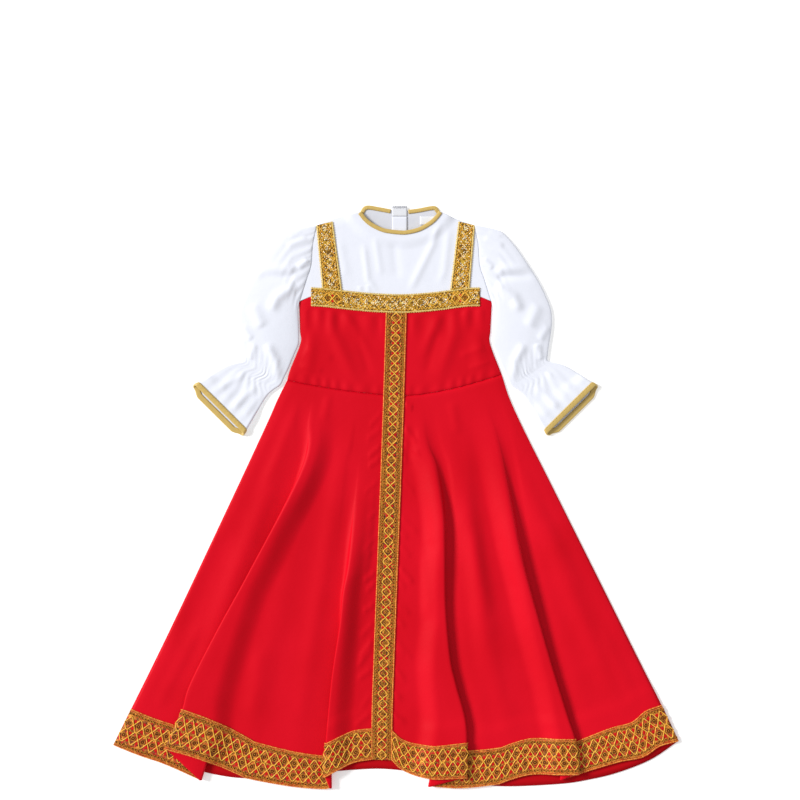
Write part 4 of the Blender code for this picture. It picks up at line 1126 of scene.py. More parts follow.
    def front_grid(self) -> tuple[Array, dict[str, tuple[int, int]]]:
        """Points of the folded front, and the columns at which each panel starts and ends."""
        t = self.t[:, None]
        blocks, spans, count = [], {}, 0
        for name in SKIRT_ORDER:
            block = self.panel_block(name)
            skip = 1 if blocks else 0
            columns = block[0].shape[1] - skip
            blocks.append([part[..., skip:] for part in block])
            spans[name] = (count - skip, count + columns - 1)
            count += columns
            if name in FOLD_AFTER:
                blocks.append(self.fold_block(name, block[3][-1]))
                count += blocks[-1][0].shape[1]
        x, z, clear, hem, depth = (np.concatenate(parts, axis=-1) for parts in zip(*blocks))
        waist = y_at(WAIST_SEAM, x[0]) - SEAM_HALF
        above = np.minimum(t / self.trim_top, 1)
        within = np.maximum(t - self.trim_top, 0) / (1 - self.trim_top)
        y = waist + (hem + depth - waist) * above - depth * within
        left, right = self.sides["centre_band"]
        off_band = smooth(np.maximum(left - x, x - right) / self.band_clear)
        z = z + creased(x, y, SKIRT_CREASES) * clear * smooth((1 - t) / self.hem_clear)
        z = z + creased(x, y, self.puckers()) * off_band + seam_dip(waist - y)
        return grid_of(x, y, z), spans

    def back_grid(self) -> Array:
        """Points of the flat back, raised at the hem by the trim under it."""
        t = self.t[::2][:, None]
        t = np.append(t, [[1]], axis=0) if t[-1, 0] < 1 else t
        left, right = along(SKIRT_LEFT, t), along(SKIRT_RIGHT, t)
        x = left + (right - left) * np.linspace(0, 1, self.back_columns)
        waist = y_at(WAIST_SEAM, x[0]) - SEAM_HALF
        y = waist + (y_at(HEM_BACK, x[-1]) - waist) * t
        return grid_of(x, y, BACK_Z + self.hem_lift(t, 0))

    def build(self) -> None:
        """Makes both panels."""
        front = enter(sheet_mesh("skirt_front_cloth", self.front, RED_CLOTH), Slot.RED, "skirt_front")
        back = enter(sheet_mesh("skirt_back_cloth", self.back_grid(), RED_INSIDE), Slot.RED, "skirt_back")


# Bodice


@dataclass
class Bodice:
    """Red bodice, chest seam to waist seam: a gathered and creased front and a flat back."""

    rows: int = 84
    columns: int = 160
    back_rows: int = 30
    back_columns: int = 60
    top_dip: float = 0.4
    gather_length: float = 26
    gather_height: float = 0.8
    gathers_start: Span = (0.10, 0.08)
    gathers_end: Span = (0.46, -0.26)
    low_gather_length: float = 19
    low_gather_height: float = 0.5
    low_gathers_start: Span = (0.86, 0.1)
    ridges_start: Span = (0.12, 0.1)
    stray: float = 5
    stray_length: float = 17
    band_clear: Span = (1, 9)
    side_clear: Span = (4, 10)

    def plan(self, fractions: Array, t: Array) -> tuple[Array, Array]:
        """x and y at fractions across and t down, between the two sides and the two seams."""
        x_top = BODICE_LEFT[0][0] + (BODICE_RIGHT[0][0] - BODICE_LEFT[0][0]) * fractions
        x_end = BODICE_LEFT[-1][0] + (BODICE_RIGHT[-1][0] - BODICE_LEFT[-1][0]) * fractions
        y = y_at(CHEST_SEAM, x_top) - SEAM_HALF
        y = y + (y_at(WAIST_SEAM, x_end) + SEAM_HALF - y) * t
        return along(BODICE_LEFT, t) + (along(BODICE_RIGHT, t) - along(BODICE_LEFT, t)) * fractions, y

    def height(self, x: Array, y: Array, t: Array) -> Array:
        """Height of the front: rounded at its sides, gathered under the chest seam, creased."""
        inset = np.minimum(x - x_at(BODICE_LEFT, y), x_at(BODICE_RIGHT, y) - x)
        z = SEAM_Z + (FRONT_Z - SEAM_Z) * rounded(inset)
        left = x_at(BAND_LEFT, y)
        off_band = np.maximum(left - x, x - left - BAND_WIDTH)
        clear = eased(off_band, *self.band_clear) * eased(inset, *self.side_clear)
        uneven = x + self.stray * np.sin(x / self.stray_length)
        upper = self.gather_height * np.sin(TURN * uneven / self.gather_length)
        upper = upper * eased(t, *self.gathers_start) * eased(t, *self.gathers_end)
        lower = self.low_gather_height * np.sin(TURN * uneven / self.low_gather_length)
        lower = lower * eased(t, *self.low_gathers_start)
        folds = ridged(x, t, BODICE_RIDGES) * eased(t, *self.ridges_start) + creased(x, y, BODICE_CREASES)
        return z + clear * (upper + lower + folds)

    def build(self) -> None:
        """Makes both panels."""
        t = np.linspace(0, 1, self.rows)[:, None]
        x, y = self.plan(np.linspace(0, 1, self.columns), t)
        dip = seam_dip(y - y[-1]) + seam_dip(y[0] - y, self.top_dip)
        grid = grid_of(x, y, self.height(x, y, t) + dip)
        front = enter(sheet_mesh("bodice_front_cloth", grid, RED_CLOTH), Slot.RED, "bodice_front")
        x, y = self.plan(np.linspace(0, 1, self.back_columns), np.linspace(0, 1, self.back_rows)[:, None])
        cloth = sheet_mesh("bodice_back_cloth", grid_of(x, y, BACK_Z), RED_INSIDE)
        back = enter(cloth, Slot.RED, "bodice_back")


# Yoke


def refined(line: Line, per_stretch: int) -> list[Point]:
    """A line with each stretch cut into equal parts."""
    made = [line[0]]
    for (xa, ya), (xb, yb) in zip(line, line[1:]):
        made.extend((xa + (xb - xa) * s, ya + (yb - ya) * s) for s in np.linspace(0, 1, per_stretch + 1)[1:])
    return made


def flipped(grid: Array) -> Array:
    """The same points on the other side of the dress, with the columns turned round to face up."""
    other = grid.copy()
    other[:, :, 0] = 2 * MIRROR_X - other[:, :, 0]
    return other[:, ::-1]


SHOULDER_LEFT = curved([ARMHOLE[0], (-98.9, 430.8), NECK_FRONT[0]], 4)
SHOULDER_RIGHT = curved([NECK_FRONT[-1], (88, 432.9), (2 * MIRROR_X - ARMHOLE[0][0], ARMHOLE[0][1])], 4)


@dataclass
class Yoke:
    """White yoke: a creased front and a flat back in two halves, raised round the neck."""

    rows: int = 96
    back_rows: int = 40
    shoulder_columns: int = 3
    neck_columns: int = 9
    back_neck_columns: int = 6
    side_share: float = 0.4
    neck_rise: Span = (30, -17)
    back_rise: Span = (24, 13)
    neck_clear: Span = (8, 12)
    armhole_clear: Span = (2, 8)
    lace_clear: Span = (12, 8)
    armhole_dip: float = 0.1

    def neck_gap(self, x: Array, y: Array) -> Array:
        """Distance from each point to the nearest neckline."""
        lines = (curved(NECK_FRONT, 3), curved(NECK_BACK_LEFT, 3), curved(NECK_BACK_RIGHT, 3))
        return np.minimum.reduce([nearest(x, y, line)[0] for line in lines])

    def plan(self, top: list[Point], rows: int, left_side: bool, right_side: bool) -> tuple[Array, Array]:
        """x and y of a panel that hangs from its top points down to the chest seam.

        Args:
            top: the panel's upper edge.
            rows: rows of points.
            left_side: whether its left side is the armhole.
            right_side: whether its right side is the armhole.

        Returns:
            x and y.
        """
        edge = np.array(top)
        share = (edge[:, 0] - edge[0, 0]) / (edge[-1, 0] - edge[0, 0])
        x_low = CHEST_SEAM[0][0] if left_side else CLOSURE_X + SEAM_HALF
        x_high = CHEST_SEAM[-1][0] if right_side else CLOSURE_X - SEAM_HALF
        x_end = x_low + (x_high - x_low) * share
        y_end = y_at(CHEST_SEAM, x_end) + SEAM_HALF
        t = np.linspace(0, 1, rows)[:, None]
        x = edge[:, 0] + (x_end - edge[:, 0]) * t
        y = edge[:, 1] + (y_end - edge[:, 1]) * t
        for side, wanted, weight in ((0, left_side, 1 - share), (-1, right_side, share)):
            if wanted:
                seam = x_at(ARMHOLE, y) if side == 0 else 2 * MIRROR_X - x_at(ARMHOLE, y)
                down = (y - y[0, side]) / (y[-1, side] - y[0, side])
                chord = x[0, side] + (x[-1, side] - x[0, side]) * down
                x = x + (seam - chord) * np.clip(1 - (1 - weight) / self.side_share, 0, 1)
        return x, y

    def base(self, x: Array, y: Array) -> Array:
        """Height of the front without creases: low at the shoulder seams, raised round the neck."""
        shoulder = np.minimum(nearest(x, y, SHOULDER_LEFT)[0], nearest(x, y, SHOULDER_RIGHT)[0])
        z = SEAM_Z + (FRONT_Z - SEAM_Z) * rounded(shoulder)
        return z + (FRONT_NECK_Z - z) * eased(self.neck_gap(x, y), *self.neck_rise)

    def back_height(self, x: Array, y: Array) -> Array:
        """Height of the back, raised round the neck by the binding's underside."""
        gap = np.minimum(nearest(x, y, NECK_BACK_LEFT + [(CLOSURE_X, CLOSURE_TOP)])[0],
                         nearest(x, y, [(CLOSURE_X, CLOSURE_TOP)] + NECK_BACK_RIGHT)[0])
        reach, length = self.back_rise
        return BACK_Z + (BACK_NECK_Z - BACK_Z) * np.clip((reach - gap) / length, 0, 1)

    def front(self) -> None:
        """Makes the creased front."""
        top = refined(SHOULDER_LEFT, self.shoulder_columns)[:-1] + curved(NECK_FRONT, self.neck_columns)
        top = top + refined(SHOULDER_RIGHT, self.shoulder_columns)[1:]
        x, y = self.plan(top, self.rows, True, True)
        armhole = np.minimum(nearest(x, y, ARMHOLE)[0], nearest(2 * MIRROR_X - x, y, ARMHOLE)[0])
        clear = eased(self.neck_gap(x, y), *self.neck_clear) * eased(armhole, *self.armhole_clear)
        clear = clear * eased(y - y_at(CHEST_SEAM, x), *self.lace_clear)
        z = self.base(x, y) + creased(x, y, YOKE_CREASES) * clear + seam_dip(armhole, self.armhole_dip)
        front = enter(sheet_mesh("yoke_front_cloth", grid_of(x, y, z), WHITE_CLOTH), Slot.WHITE,
                      "yoke_front")

    def back_half(self, name: str, top: list[Point], left: bool) -> None:
        """Makes one half of the back.

        Args:
            name: its node.
            top: its upper edge.
            left: whether it is the left half.
        """
        x, y = self.plan(top, self.back_rows, left, not left)
        grid = grid_of(x, y, self.back_height(x, y))
        # The back halves' cloth is a darker copy of the white one, its grey a painted shade
        back = enter(sheet_mesh(name + "_cloth", grid, WHITE_PAINTED_SHADE), Slot.WHITE, name)

    def build(self) -> None:
        """Makes the front and both halves of the back."""
        self.front()
        left = refined(SHOULDER_LEFT, self.shoulder_columns)[:-1]
        left = left + curved(NECK_BACK_LEFT, self.back_neck_columns)
        right = refined(SHOULDER_RIGHT, self.shoulder_columns)[1:]
        right = curved(NECK_BACK_RIGHT, self.back_neck_columns) + right
        self.back_half("yoke_back_left", left + [(CLOSURE_X - SEAM_HALF, CLOSURE_TOP)], True)
        self.back_half("yoke_back_right", [(CLOSURE_X + SEAM_HALF, CLOSURE_TOP)] + right, False)


# Sleeves


class Gathers(NamedTuple):
    """Gathers round a sleeve: their number and height, and the waves that make them uneven."""

    count: float
    height: float
    stray: float
    stray_count: float

    def waves(self, across: Array) -> Array:
        """Their height at across, from 0 to 1: a sine whose phase strays by a slower sine."""
        phase = self.count * across + self.stray * np.sin(TURN * self.stray_count * across)
        return self.height * np.sin(TURN * phase)


@dataclass
class Sleeve:
    """White puff sleeve: gathered head, full upper part, elastic pinch and a bound ruffle."""

    per_ring: int = 9
    top_columns: int = 96
    bottom_columns: int = 30
    bend_columns: int = 8
    puff: float = 3.4
    back_reach: float = 11.6
    end_share: float = 0.45
    end_length: float = 2.2
    side_height: float = 4.2
    cuff_height: float = 1.8
    cuff_rise: Span = (4.8, 1.4)
    head_gathers: Gathers = Gathers(12, 0.4, 0.45, 2.1)
    head_length: float = 1.5
    head_end: Span = (0.62, -0.35)
    head_start: Span = (0, 0.4)
    pinch_gathers: Gathers = Gathers(8, 0.32, 0.55, 1.7)
    pinch_length: float = 0.9
    crown_power: float = 0.6
    puff_power: float = 0.8
    fold_power: float = 0.5
    seam_radius: float = 0.06
    seam_gap: float = 0.4
    bow_length: float = 2
    reach_length: float = 3
    cuff_lift: float = LAYER + 0.1

    def section(self) -> tuple[Array, Array, Array, Array, Array]:
        """The tube's section, from the outer bend over the crown to the inner bend and back underneath.

        Returns:
            By column, the share across, the bends' sideways and upwards parts in radii, 1 on the crown, and
            the share by which the cuff's underside reaches out.
        """
        bend = np.linspace(-0.5 * PI, 0.5 * PI, self.bend_columns + 1)
        top = np.linspace(0, 1, self.top_columns + 1)[1:-1]
        bottom = np.linspace(1, 0, self.bottom_columns + 1)[1:-1]
        none, low, high = np.zeros(len(bend)), np.zeros(len(bottom)), np.ones(len(top))
        across = np.concatenate([none, top, none + 1, bottom])
        sideways = np.concatenate([-np.cos(bend), 0 * high, np.cos(bend[::-1]), low])
        upwards = np.concatenate([1 + np.sin(bend), 2 * high, 1 + np.sin(bend[::-1]), low])
        crown = np.concatenate([none, high, none, low])
        turned = 0.5 * self.end_share * (1 - np.sin(bend))
        lens = self.end_share + (1 - self.end_share) * smooth(self.end_length * np.sin(PI * bottom))
        return across, sideways, upwards, crown, np.concatenate([turned, 0 * high, turned[::-1], lens])

    def rise(self, index: Array, across: Array, room: Array, wave: Array, count: Array) -> Array:
        """Height over the sides: the crown, the puff, the rings' waves and the gathers, all 0 at the sides.

        Args:
            index: place down the sleeve, counted in rings.
            across: share across.
            room: height that the crown has over the sides.
            wave: height of the rings' waves.
            count: their number.

        Returns:
            The heights.
        """
        bell = np.sin(PI * across)
        soft = bell ** self.fold_power
        full = np.sin(PI * np.clip(index / ELASTIC_RING, 0, 1)) ** self.puff_power
        head = np.exp(-((index / self.head_length) ** 2)) * eased(across, *self.head_end)
        head = head * eased(index, *self.head_start)
        pinch = np.exp(-(((index - ELASTIC_RING) / self.pinch_length) ** 2))
        rise = room * bell ** self.crown_power + self.puff * full * bell ** self.puff_power
        rise = rise + wave * np.sin(TURN * count * across) * soft
        return rise + (head * self.head_gathers.waves(across)
                       + pinch * self.pinch_gathers.waves(across)) * soft

    def grid(self) -> Array:
        """Points of the left sleeve, ring by ring: a flat tube with half round sides and a high crown."""
        rings = np.array(curved(SLEEVE_RINGS, self.per_ring))
        x_out, y_out, x_in, y_in, height, wave, count = rings.T[:, :, None]
        index = np.linspace(0, len(SLEEVE_RINGS) - 1, len(rings))[:, None]
        across, sideways, upwards, crown, under = self.section()
        sides = np.minimum(height, self.side_height + self.cuff_height * eased(height, *self.cuff_rise))
        radius = sides / 2
        length = np.hypot(x_in - x_out, y_in - y_out)
        unit_x, unit_y = (x_in - x_out) / length, (y_in - y_out) / length
        r = radius * (self.seam_radius + (1 - self.seam_radius) * smooth(index))
        along_ring = r + (length - 2 * r) * across + r * sideways
        x, y = x_out + unit_x * along_ring, y_out + unit_y * along_ring
        straight = x_out + unit_x * (y - y_out) / unit_y
        bow = x_at(ARMHOLE, np.clip(y, ARMHOLE[-1][1], ARMHOLE[0][1])) + self.seam_gap - straight
        x = x + np.clip(1 - index / self.bow_length, 0, 1) * bow
        out = np.clip((index - CUFF_RING + 1) / self.reach_length, 0, 1)
        reach = self.back_reach * under * out * np.where(unit_x > 0, 1, -1)
        x, y = x + unit_y * reach, y - unit_x * reach
        rise = self.rise(index, across, height - 2 * radius, wave, count)
        creases = creased(x, y, SLEEVE_CREASES) * np.sin(PI * across) ** self.fold_power
        base = BACK_Z + self.cuff_lift * smooth(index - CUFF_RING)
        return grid_of(x, y, base + radius * upwards + crown * (rise + creases))

    def build(self) -> tuple[Array, Array]:
        """Makes both sleeves, the right one as the left one's mirror image.

        Returns:
            The left and right sleeves' points.
        """
        left = self.grid()
        right = flipped(left)
        for name, grid in (("sleeve_left", left), ("sleeve_right", right)):
            piece = enter(sheet_mesh(name + "_cloth", grid, WHITE_CLOTH, closed=True), Slot.WHITE, name)
        return left, right


# Bindings


@dataclass
class Bindings:
    """Gold satin tape folded over the neckline and the ruffles' edges, with a row of stitches."""

    bend_points: int = 9
    leg_points: int = 5
    neck_steps: int = 12
    cuff_rows: int = 4
    satin: float = 0.5
    half: float = BINDING_HALF
    tuck: float = 0.2
    dome: float = 0.4
    drag: float = 0.12
    drag_wave: float = 0.9
    drag_turn: float = 3
    stitch: float = 2.2
    stitch_pitch: float = 3.4
    stitch_start: float = 2
    stitch_share: float = 0.25
    stitch_lift: float = 0.5 * CLOTH + 0.12
    stitch_radii: tuple[float, ...] = (0.15, 0.34, 0.34, 0.15)

    def strip(self, edge: Array, inner: Array, up: Array, inner_up: Array) -> Array:
        """Points of a strip folded over an edge: two flat legs joined by half a circle.

        Args:
            edge: the cloth's edge.
            inner: the line inside it where the legs end.
            up: normals at the edge.
            inner_up: normals at the inner line.

        Returns:
            Rows from the upper leg to the lower one, over the edge.
        """
        outward = unit(edge - inner)
        bend = np.linspace(0.5 * PI, -0.5 * PI, self.bend_points)[:, None, None]
        middle = edge + (self.half * np.cos(bend) - self.tuck) * outward + self.half * np.sin(bend) * up
        share = np.linspace(0, 1, self.leg_points, endpoint=False)[:, None, None]
        drag = self.drag * np.sin(np.arange(len(edge))[:, None] * self.drag_wave + self.drag_turn * share)
        legs = []
        for sign, dome in ((1, self.dome), (-1, 0)):
            low = inner + sign * self.half * inner_up
            high = edge + sign * self.half * up - self.tuck * outward
            legs.append(low + (high - low) * share + sign * (drag + dome) * np.sin(PI * share) * up)
        return np.concatenate([legs[0], middle, legs[1][::-1]])

    def stitches(self, work: Needlework, strip: Array, ring: bool) -> None:
        """A row of short stitches along the upper leg, each a small tapered capsule."""
        line = strip[0] + self.stitch_share * (strip[self.leg_points - 1] - strip[0])
        if ring:
            line = np.concatenate([line, line[:1]])
        reach = reach_along(line)
        starts = np.arange(self.stitch_start, reach[-1] - self.stitch, self.stitch_pitch)
        u = starts[:, None] + self.stitch * np.linspace(0, 1, len(self.stitch_radii))
        points = np.stack([np.interp(u, reach, line[:, k]) for k in range(3)], axis=-1)
        up = np.broadcast_to([0, 0, 1], points.shape)
        work.cords(points + up * self.stitch_lift, up, np.array(self.stitch_radii))

    def build(self, sleeves: tuple[Array, Array]) -> None:
        """Makes the three neck bindings and both cuff bindings."""
        work = Needlework()
        for name, line, z, flat in (
                ("neck_binding_front", NECK_FRONT, FRONT_NECK_Z, (0.016, 0.18)),
                ("neck_binding_back_left", NECK_BACK_LEFT, BACK_NECK_Z, (0.016, 0.058)),
                ("neck_binding_back_right", NECK_BACK_RIGHT, BACK_NECK_Z, (0.016, 0.062))):
            edge = np.array([(x, y, z) for x, y in curved(line, self.neck_steps)])
            run = unit(np.gradient(edge, axis=0))
            outward = np.stack([-run[:, 1], run[:, 0], np.zeros(len(run))], axis=1)
            up = np.broadcast_to([0, 0, 1], edge.shape)
            strip = self.strip(edge, edge - NECK_BINDING * outward, up, up)
            piece = enter(sheet_mesh(name + "_satin", strip[::-1], GOLD_SATIN, self.satin), Slot.SATIN, name)
            self.stitches(work, strip, False)
        for side, grid in zip(("left", "right"), sleeves):
            faces = normals(grid, closed=True)
            back = -1 - self.cuff_rows
            inner = grid[-1] + CUFF_BINDING * unit(grid[back] - grid[-1])
            strip = self.strip(grid[-1], inner, faces[-1], faces[back])
            name = "cuff_binding_" + side
            satin = sheet_mesh(name + "_satin", strip, GOLD_SATIN, self.satin, closed=True)
            piece = enter(satin, Slot.SATIN, name)
            self.stitches(work, strip, True)
        work.piece("binding_stitches", STITCH_THREAD, Slot.SATIN)


# Lace trims


class Threads:
    """The needlework of one dark lace trim, a mesh for each colour of thread."""

    def __init__(self) -> None:
        """Starts with nothing."""
        self.gold, self.brown, self.dark = Needlework(), Needlework(), Needlework()
        self.red, self.edge = Needlework(), Needlework()

    def pieces(self, name: str) -> list[bpy.types.Object]:
        """The colours that are used, as pieces of the dress."""
        works = ((self.gold, "_cords", GOLD_THREAD), (self.brown, "_rosettes", RING_THREAD),
                 (self.dark, "_grounds", DARK_THREAD), (self.red, "_dots", RED_THREAD),
                 (self.edge, "_edges", EDGE_THREAD))
        return [work.piece(name + ending, finish, Slot.LACE)
                for work, ending, finish in works if work.vertices]


class Border(NamedTuple):
    """Thread along a dark trim's edge: a cord's inset, radius and sway, and the rings' inset and radius."""

    cord_inset: float
    cord: float
    sway: float
    ring_inset: float
    ring: float


@dataclass
class Lace:
    """A lace trim's thread: chains of diamonds with a rosette in each, rows of small rings, corded edges."""

    pitch: float = 15.6
    cord: float = 0.78
    cord_lift: float = 0.9
    weave: float = 0.3
    chain_steps: int = 12
    ring_pitch: float = 5.2
    ring_cord: float = 0.55
    ring_lift: float = 0.75
    ring_share: float = 0.36
    ring_steps: int = 12
    ground_lift: float = 0.25
    ground_height: float = 0.35
    ground_share: float = 0.46
    dot_place: float = 0.62
    dot_share: float = 0.28
    dot_least: float = 0.4
    edge_cord: float = 1.05
    edge_inset: float = 0.8
    edge_step: float = 1.3
    edge_lift: float = 0.55
    edge_flat: float = 0.8
    edge_bulge: float = 0.22
    bulge_wave: float = 2
    sway_wave: float = 2.1
    zigzag_lift: float = 0.6
    zigzag_steps: int = 8

    def rings(self, work: Needlework, ribbon: Ribbon, u: Array, v: float, radius: float) -> None:
        """Rings of thread of one radius, at u along and v across."""
        angle = TURN * np.arange(self.ring_steps) / self.ring_steps
        place = ribbon.place(u[:, None] + radius * np.cos(angle), v + radius * np.sin(angle), self.ring_lift)
        work.cords(*place, self.ring_cord, closed=True)

    def chain(self, threads: Threads, ribbon: Ribbon, middle: float, half: float) -> None:
        """Two cords that cross back and forth as triangle waves, with a rosette in each diamond.

        Args:
            threads: where the thread goes.
            ribbon: the trim.
            middle: the chain's distance from the trim's first edge.
            half: half the diamonds' height.
        """
        count = max(1, round(ribbon.length / self.pitch))
        step = ribbon.length / count
        u = np.linspace(0, ribbon.length, count * self.chain_steps + 1)
        turn = PI * u / step
        wave = half * (np.sin(turn) - np.sin(3 * turn) / 10)
        lift = self.cord_lift + self.weave * np.stack([np.cos(turn), -np.cos(turn)])
        threads.gold.cords(*ribbon.place(u[None, :], middle + np.stack([wave, -wave]), lift), self.cord)
        eyes = (np.arange(count) + 0.5) * step
        threads.dark.beads(*ribbon.place(eyes, middle, self.ground_lift), self.ground_share * half,
                           self.ground_height, sides=10)
        self.rings(threads.brown, ribbon, eyes, middle, self.ring_share * half)
        threads.brown.beads(*ribbon.place(eyes, middle, 0.5), 1, 0.7)
        crossings = np.arange(1, count) * step
        for side in (-1, 1):
            place = ribbon.place(crossings, middle + side * self.dot_place * half, self.ground_lift)
            threads.red.beads(*place, self.dot_share * half + self.dot_least, 0.4, sides=8)

    def edge(self, work: Needlework, ribbon: Ribbon, v: float, radius: float, sway: float = 0) -> None:
        """A cord along the trim at v across, uneven in thickness, which may sway a little."""
        u = np.linspace(0, ribbon.length, max(2, round(ribbon.length / self.edge_step)))
        points, up = ribbon.place(u[None, :], v + sway * np.sin(u * self.sway_wave)[None, :], self.edge_lift)
        size = radius * (1 + self.edge_bulge * np.sin(u * self.bulge_wave))
        work.cords(points, up, size, sides=6, flat=self.edge_flat)

    def zigzag(self, work: Needlework, ribbon: Ribbon, v: float, half: float, pitch: float) -> None:
        """A thin cord that swings half each side of v."""
        count = max(1, round(ribbon.length / pitch))
        u = np.linspace(0, ribbon.length, count * self.zigzag_steps + 1)
        wave = half * np.sin(TURN * u * count / ribbon.length)
        work.cords(*ribbon.place(u[None, :], (v + wave)[None, :], self.zigzag_lift), self.ring_cord)

    def border(self, threads: Threads, cord: Needlework, ribbon: Ribbon, side: float,
               border: Border) -> None:
        """A swaying cord, and a row of small rings with a dark ground and a red dot between each two.

        Args:
            threads: where the rings' thread goes.
            cord: where the cord goes.
            ribbon: the trim.
            side: -1 for the trim's first edge and 1 for its last.
            border: insets and sizes.
        """
        middle = ribbon.width / 2
        self.edge(cord, ribbon, middle + side * (middle - border.cord_inset), border.cord, border.sway)
        v = middle + side * (middle - border.ring_inset)
        u = np.arange(0.5 * self.ring_pitch, ribbon.length, self.ring_pitch)
        threads.dark.beads(*ribbon.place(u, v, self.ground_lift), border.ring, self.ground_height, sides=8)
        self.rings(threads.brown, ribbon, u, v, border.ring)
        threads.red.beads(*ribbon.place(u[:-1] + 0.5 * self.ring_pitch, v, 0.3), 0.8, 0.5)


CENTRE_BORDER = Border(3.2, 0.5, 0.4, 6, 1.7)
HEM_BORDER = Border(3.4, 0.55, 0.3, 6.4, 1.8)

# Beads of one cluster, along and across the trim from its middle
BEAD_CLUSTER = ((0, 0), (2, 0), (-2, 0), (0, 2), (0, -2), (3.4, 3), (-3.4, -3), (3.4, -3), (-3.4, 3))


@dataclass
class Trims:
    """All gold lace: hem trims, centre band, chest band and straps."""

    lace: Lace
    skirt: Skirt
    yoke: Yoke
    net: float = 0.6
    band_gap: float = 0.6
    band_rows: int = 40
    columns: int = 9
    centre_half: float = 6.4
    hem_half: float = 9.4
    hem_chain: float = 9.9
    hem_zigzag: float = 1.6
    back_z: float = 0.45
    bright_edge: float = 0.9
    bright_inset: float = 0.6
    bright_half: float = 6.8
    bright_zigzag: float = 1.5
    zigzag_inset: float = 3.6
    zigzag_pitch: float = 5.4
    picot: float = 0.5
    picot_pitch: float = 3.6
    picot_height: float = 1.6
    side_beads: float = 6.4
    bead_area: float = 60
    bead_lift: float = 0.55
    bead_height: float = 0.7
    bead_stray: float = 0.35
    bead_clear: float = 1.5
    sparkle: float = 0.95
    gold_bead: float = 0.9
    gold_bead_step: int = 3
    gold_bead_shift: Point = (2.6, 1.4)
    sparkle_seed: int = 5
    chest_left: float = -131.6
    chest_right: float = 130
    chest_columns: int = 150
    strap_rows: int = 56
    strap_gap: float = 0.6
    bright_points: int = 9

    def centre_band(self) -> None:
        """Darker gold band from the chest band down the bodice and the skirt to the hem."""
        top = float(y_at(CHEST_SEAM, 0)) - CHEST_BAND_HALF - self.band_gap
        y = np.linspace(top, float(y_at(WAIST_SEAM, 0)) + 1, self.band_rows)[:, None]
        x = x_at(BAND_LEFT, y) + BAND_WIDTH * np.linspace(0, 1, self.columns)
        upper = grid_of(x, y, FRONT_Z)
        first, last = self.skirt.spans["centre_band"]
        lower = self.skirt.front[2:, first:last + 1].copy()
        lower[:, :, 2] = np.maximum(lower[:, :, 2], FRONT_Z)
        grid = lifted(np.concatenate([upper, lower]), TRIM_LIFT)
        net = sheet_mesh("centre_band_net", grid, CENTRE_NET, self.net, run=Run.DOWN)
        base = enter(net, Slot.LACE, "centre_band")
        ribbon, threads = Ribbon(grid, Run.DOWN), Threads()
        middle = ribbon.width / 2
        self.lace.chain(threads, ribbon, middle, self.centre_half)
        for side in (-1, 1):
            v = middle + side * (middle - self.lace.edge_inset)
            self.lace.edge(threads.edge, ribbon, v, self.lace.edge_cord)
            self.lace.border(threads, threads.brown, ribbon, side, CENTRE_BORDER)
        threads.pieces("centre_band")

    def hem_front(self) -> None:
        """The front hem's trim, either side of the centre band, with thread on each panel that shows."""
        strip = lifted(self.skirt.front, TRIM_LIFT)[-self.skirt.trim_rows:]
        first, last = self.skirt.spans["centre_band"]
        quarter = self.skirt.bend_steps // 2
        for name, cut, length, zones in (
                ("hem_trim_front_left", slice(0, first + 1), 0.60, SKIRT_ORDER[:3]),
                ("hem_trim_front_right", slice(last, None), 0.64, SKIRT_ORDER[4:])):
            net = sheet_mesh(name + "_net", strip[:, cut], HEM_NET, self.net, run=Run.ACROSS)
            base = enter(net, Slot.LACE, name)
            threads = Threads()
            for zone in zones:
                start, end = self.skirt.spans[zone]
                if zone in RAISED_BY:
                    faces = FOLDS[RAISED_BY[zone]].faces
                    start, end = (start - quarter, end) if faces < 0 else (start, end + quarter)
                self.hem_thread(threads, Ribbon(strip[:, start:end + 1], Run.ACROSS))
            whole = Ribbon(strip[:, cut], Run.ACROSS)
            self.lace.edge(threads.edge, whole, whole.width - self.lace.edge_inset, self.lace.edge_cord)
            threads.pieces(name)

    def hem_thread(self, threads: Threads, ribbon: Ribbon) -> None:
        """Two chains that meet in the middle, and at both edges a row of rings and corded lines."""
        middle = ribbon.width / 2
        for side in (-1, 1):
            self.lace.chain(threads, ribbon, middle + side * self.hem_chain, self.hem_half)
            self.lace.border(threads, threads.edge, ribbon, side, HEM_BORDER)
        self.lace.edge(threads.edge, ribbon, self.lace.edge_inset, self.lace.edge_cord)
        self.lace.zigzag(threads.brown, ribbon, middle, self.hem_zigzag, self.lace.pitch / 2)

    def hem_back(self) -> None:
        """The back hem's trim, flat between the skirt back and the table."""
        back = self.skirt.back_grid()
        middle = back[:, back.shape[1] // 2, 1]
        rows = int(np.sum(middle - middle[-1] < HEM_TRIM + 1))
        grid = back[-rows:].copy()
        grid[:, :, 2] = self.back_z
        net = sheet_mesh("hem_trim_back_net", grid, HEM_NET, self.net, run=Run.ACROSS)
        enter(net, Slot.LACE, "hem_trim_back")

    def bright_cords(self, ribbon: Ribbon, cords: Needlework, picots: Needlework) -> None:
        """Scalloped and corded edges, and cords that swing along the edges and across the middle."""
        middle = ribbon.width / 2
        count = round(ribbon.length / self.picot_pitch)
        u = np.linspace(0, ribbon.length, count * 6 + 1)
        scallop = self.picot_height * np.abs(np.sin(PI * u * count / ribbon.length))
        for side in (-1, 1):
            v = middle + side * (middle - self.bright_inset)
            picots.cords(*ribbon.place(u[None, :], (v + side * scallop)[None, :], 0.4), self.picot)
            self.lace.edge(picots, ribbon, v, self.bright_edge)
            self.lace.zigzag(cords, ribbon, v - side * self.zigzag_inset, self.bright_zigzag,
                             self.zigzag_pitch)
            self.lace.zigzag(cords, ribbon, middle, side * self.bright_half, 2 * self.lace.pitch)

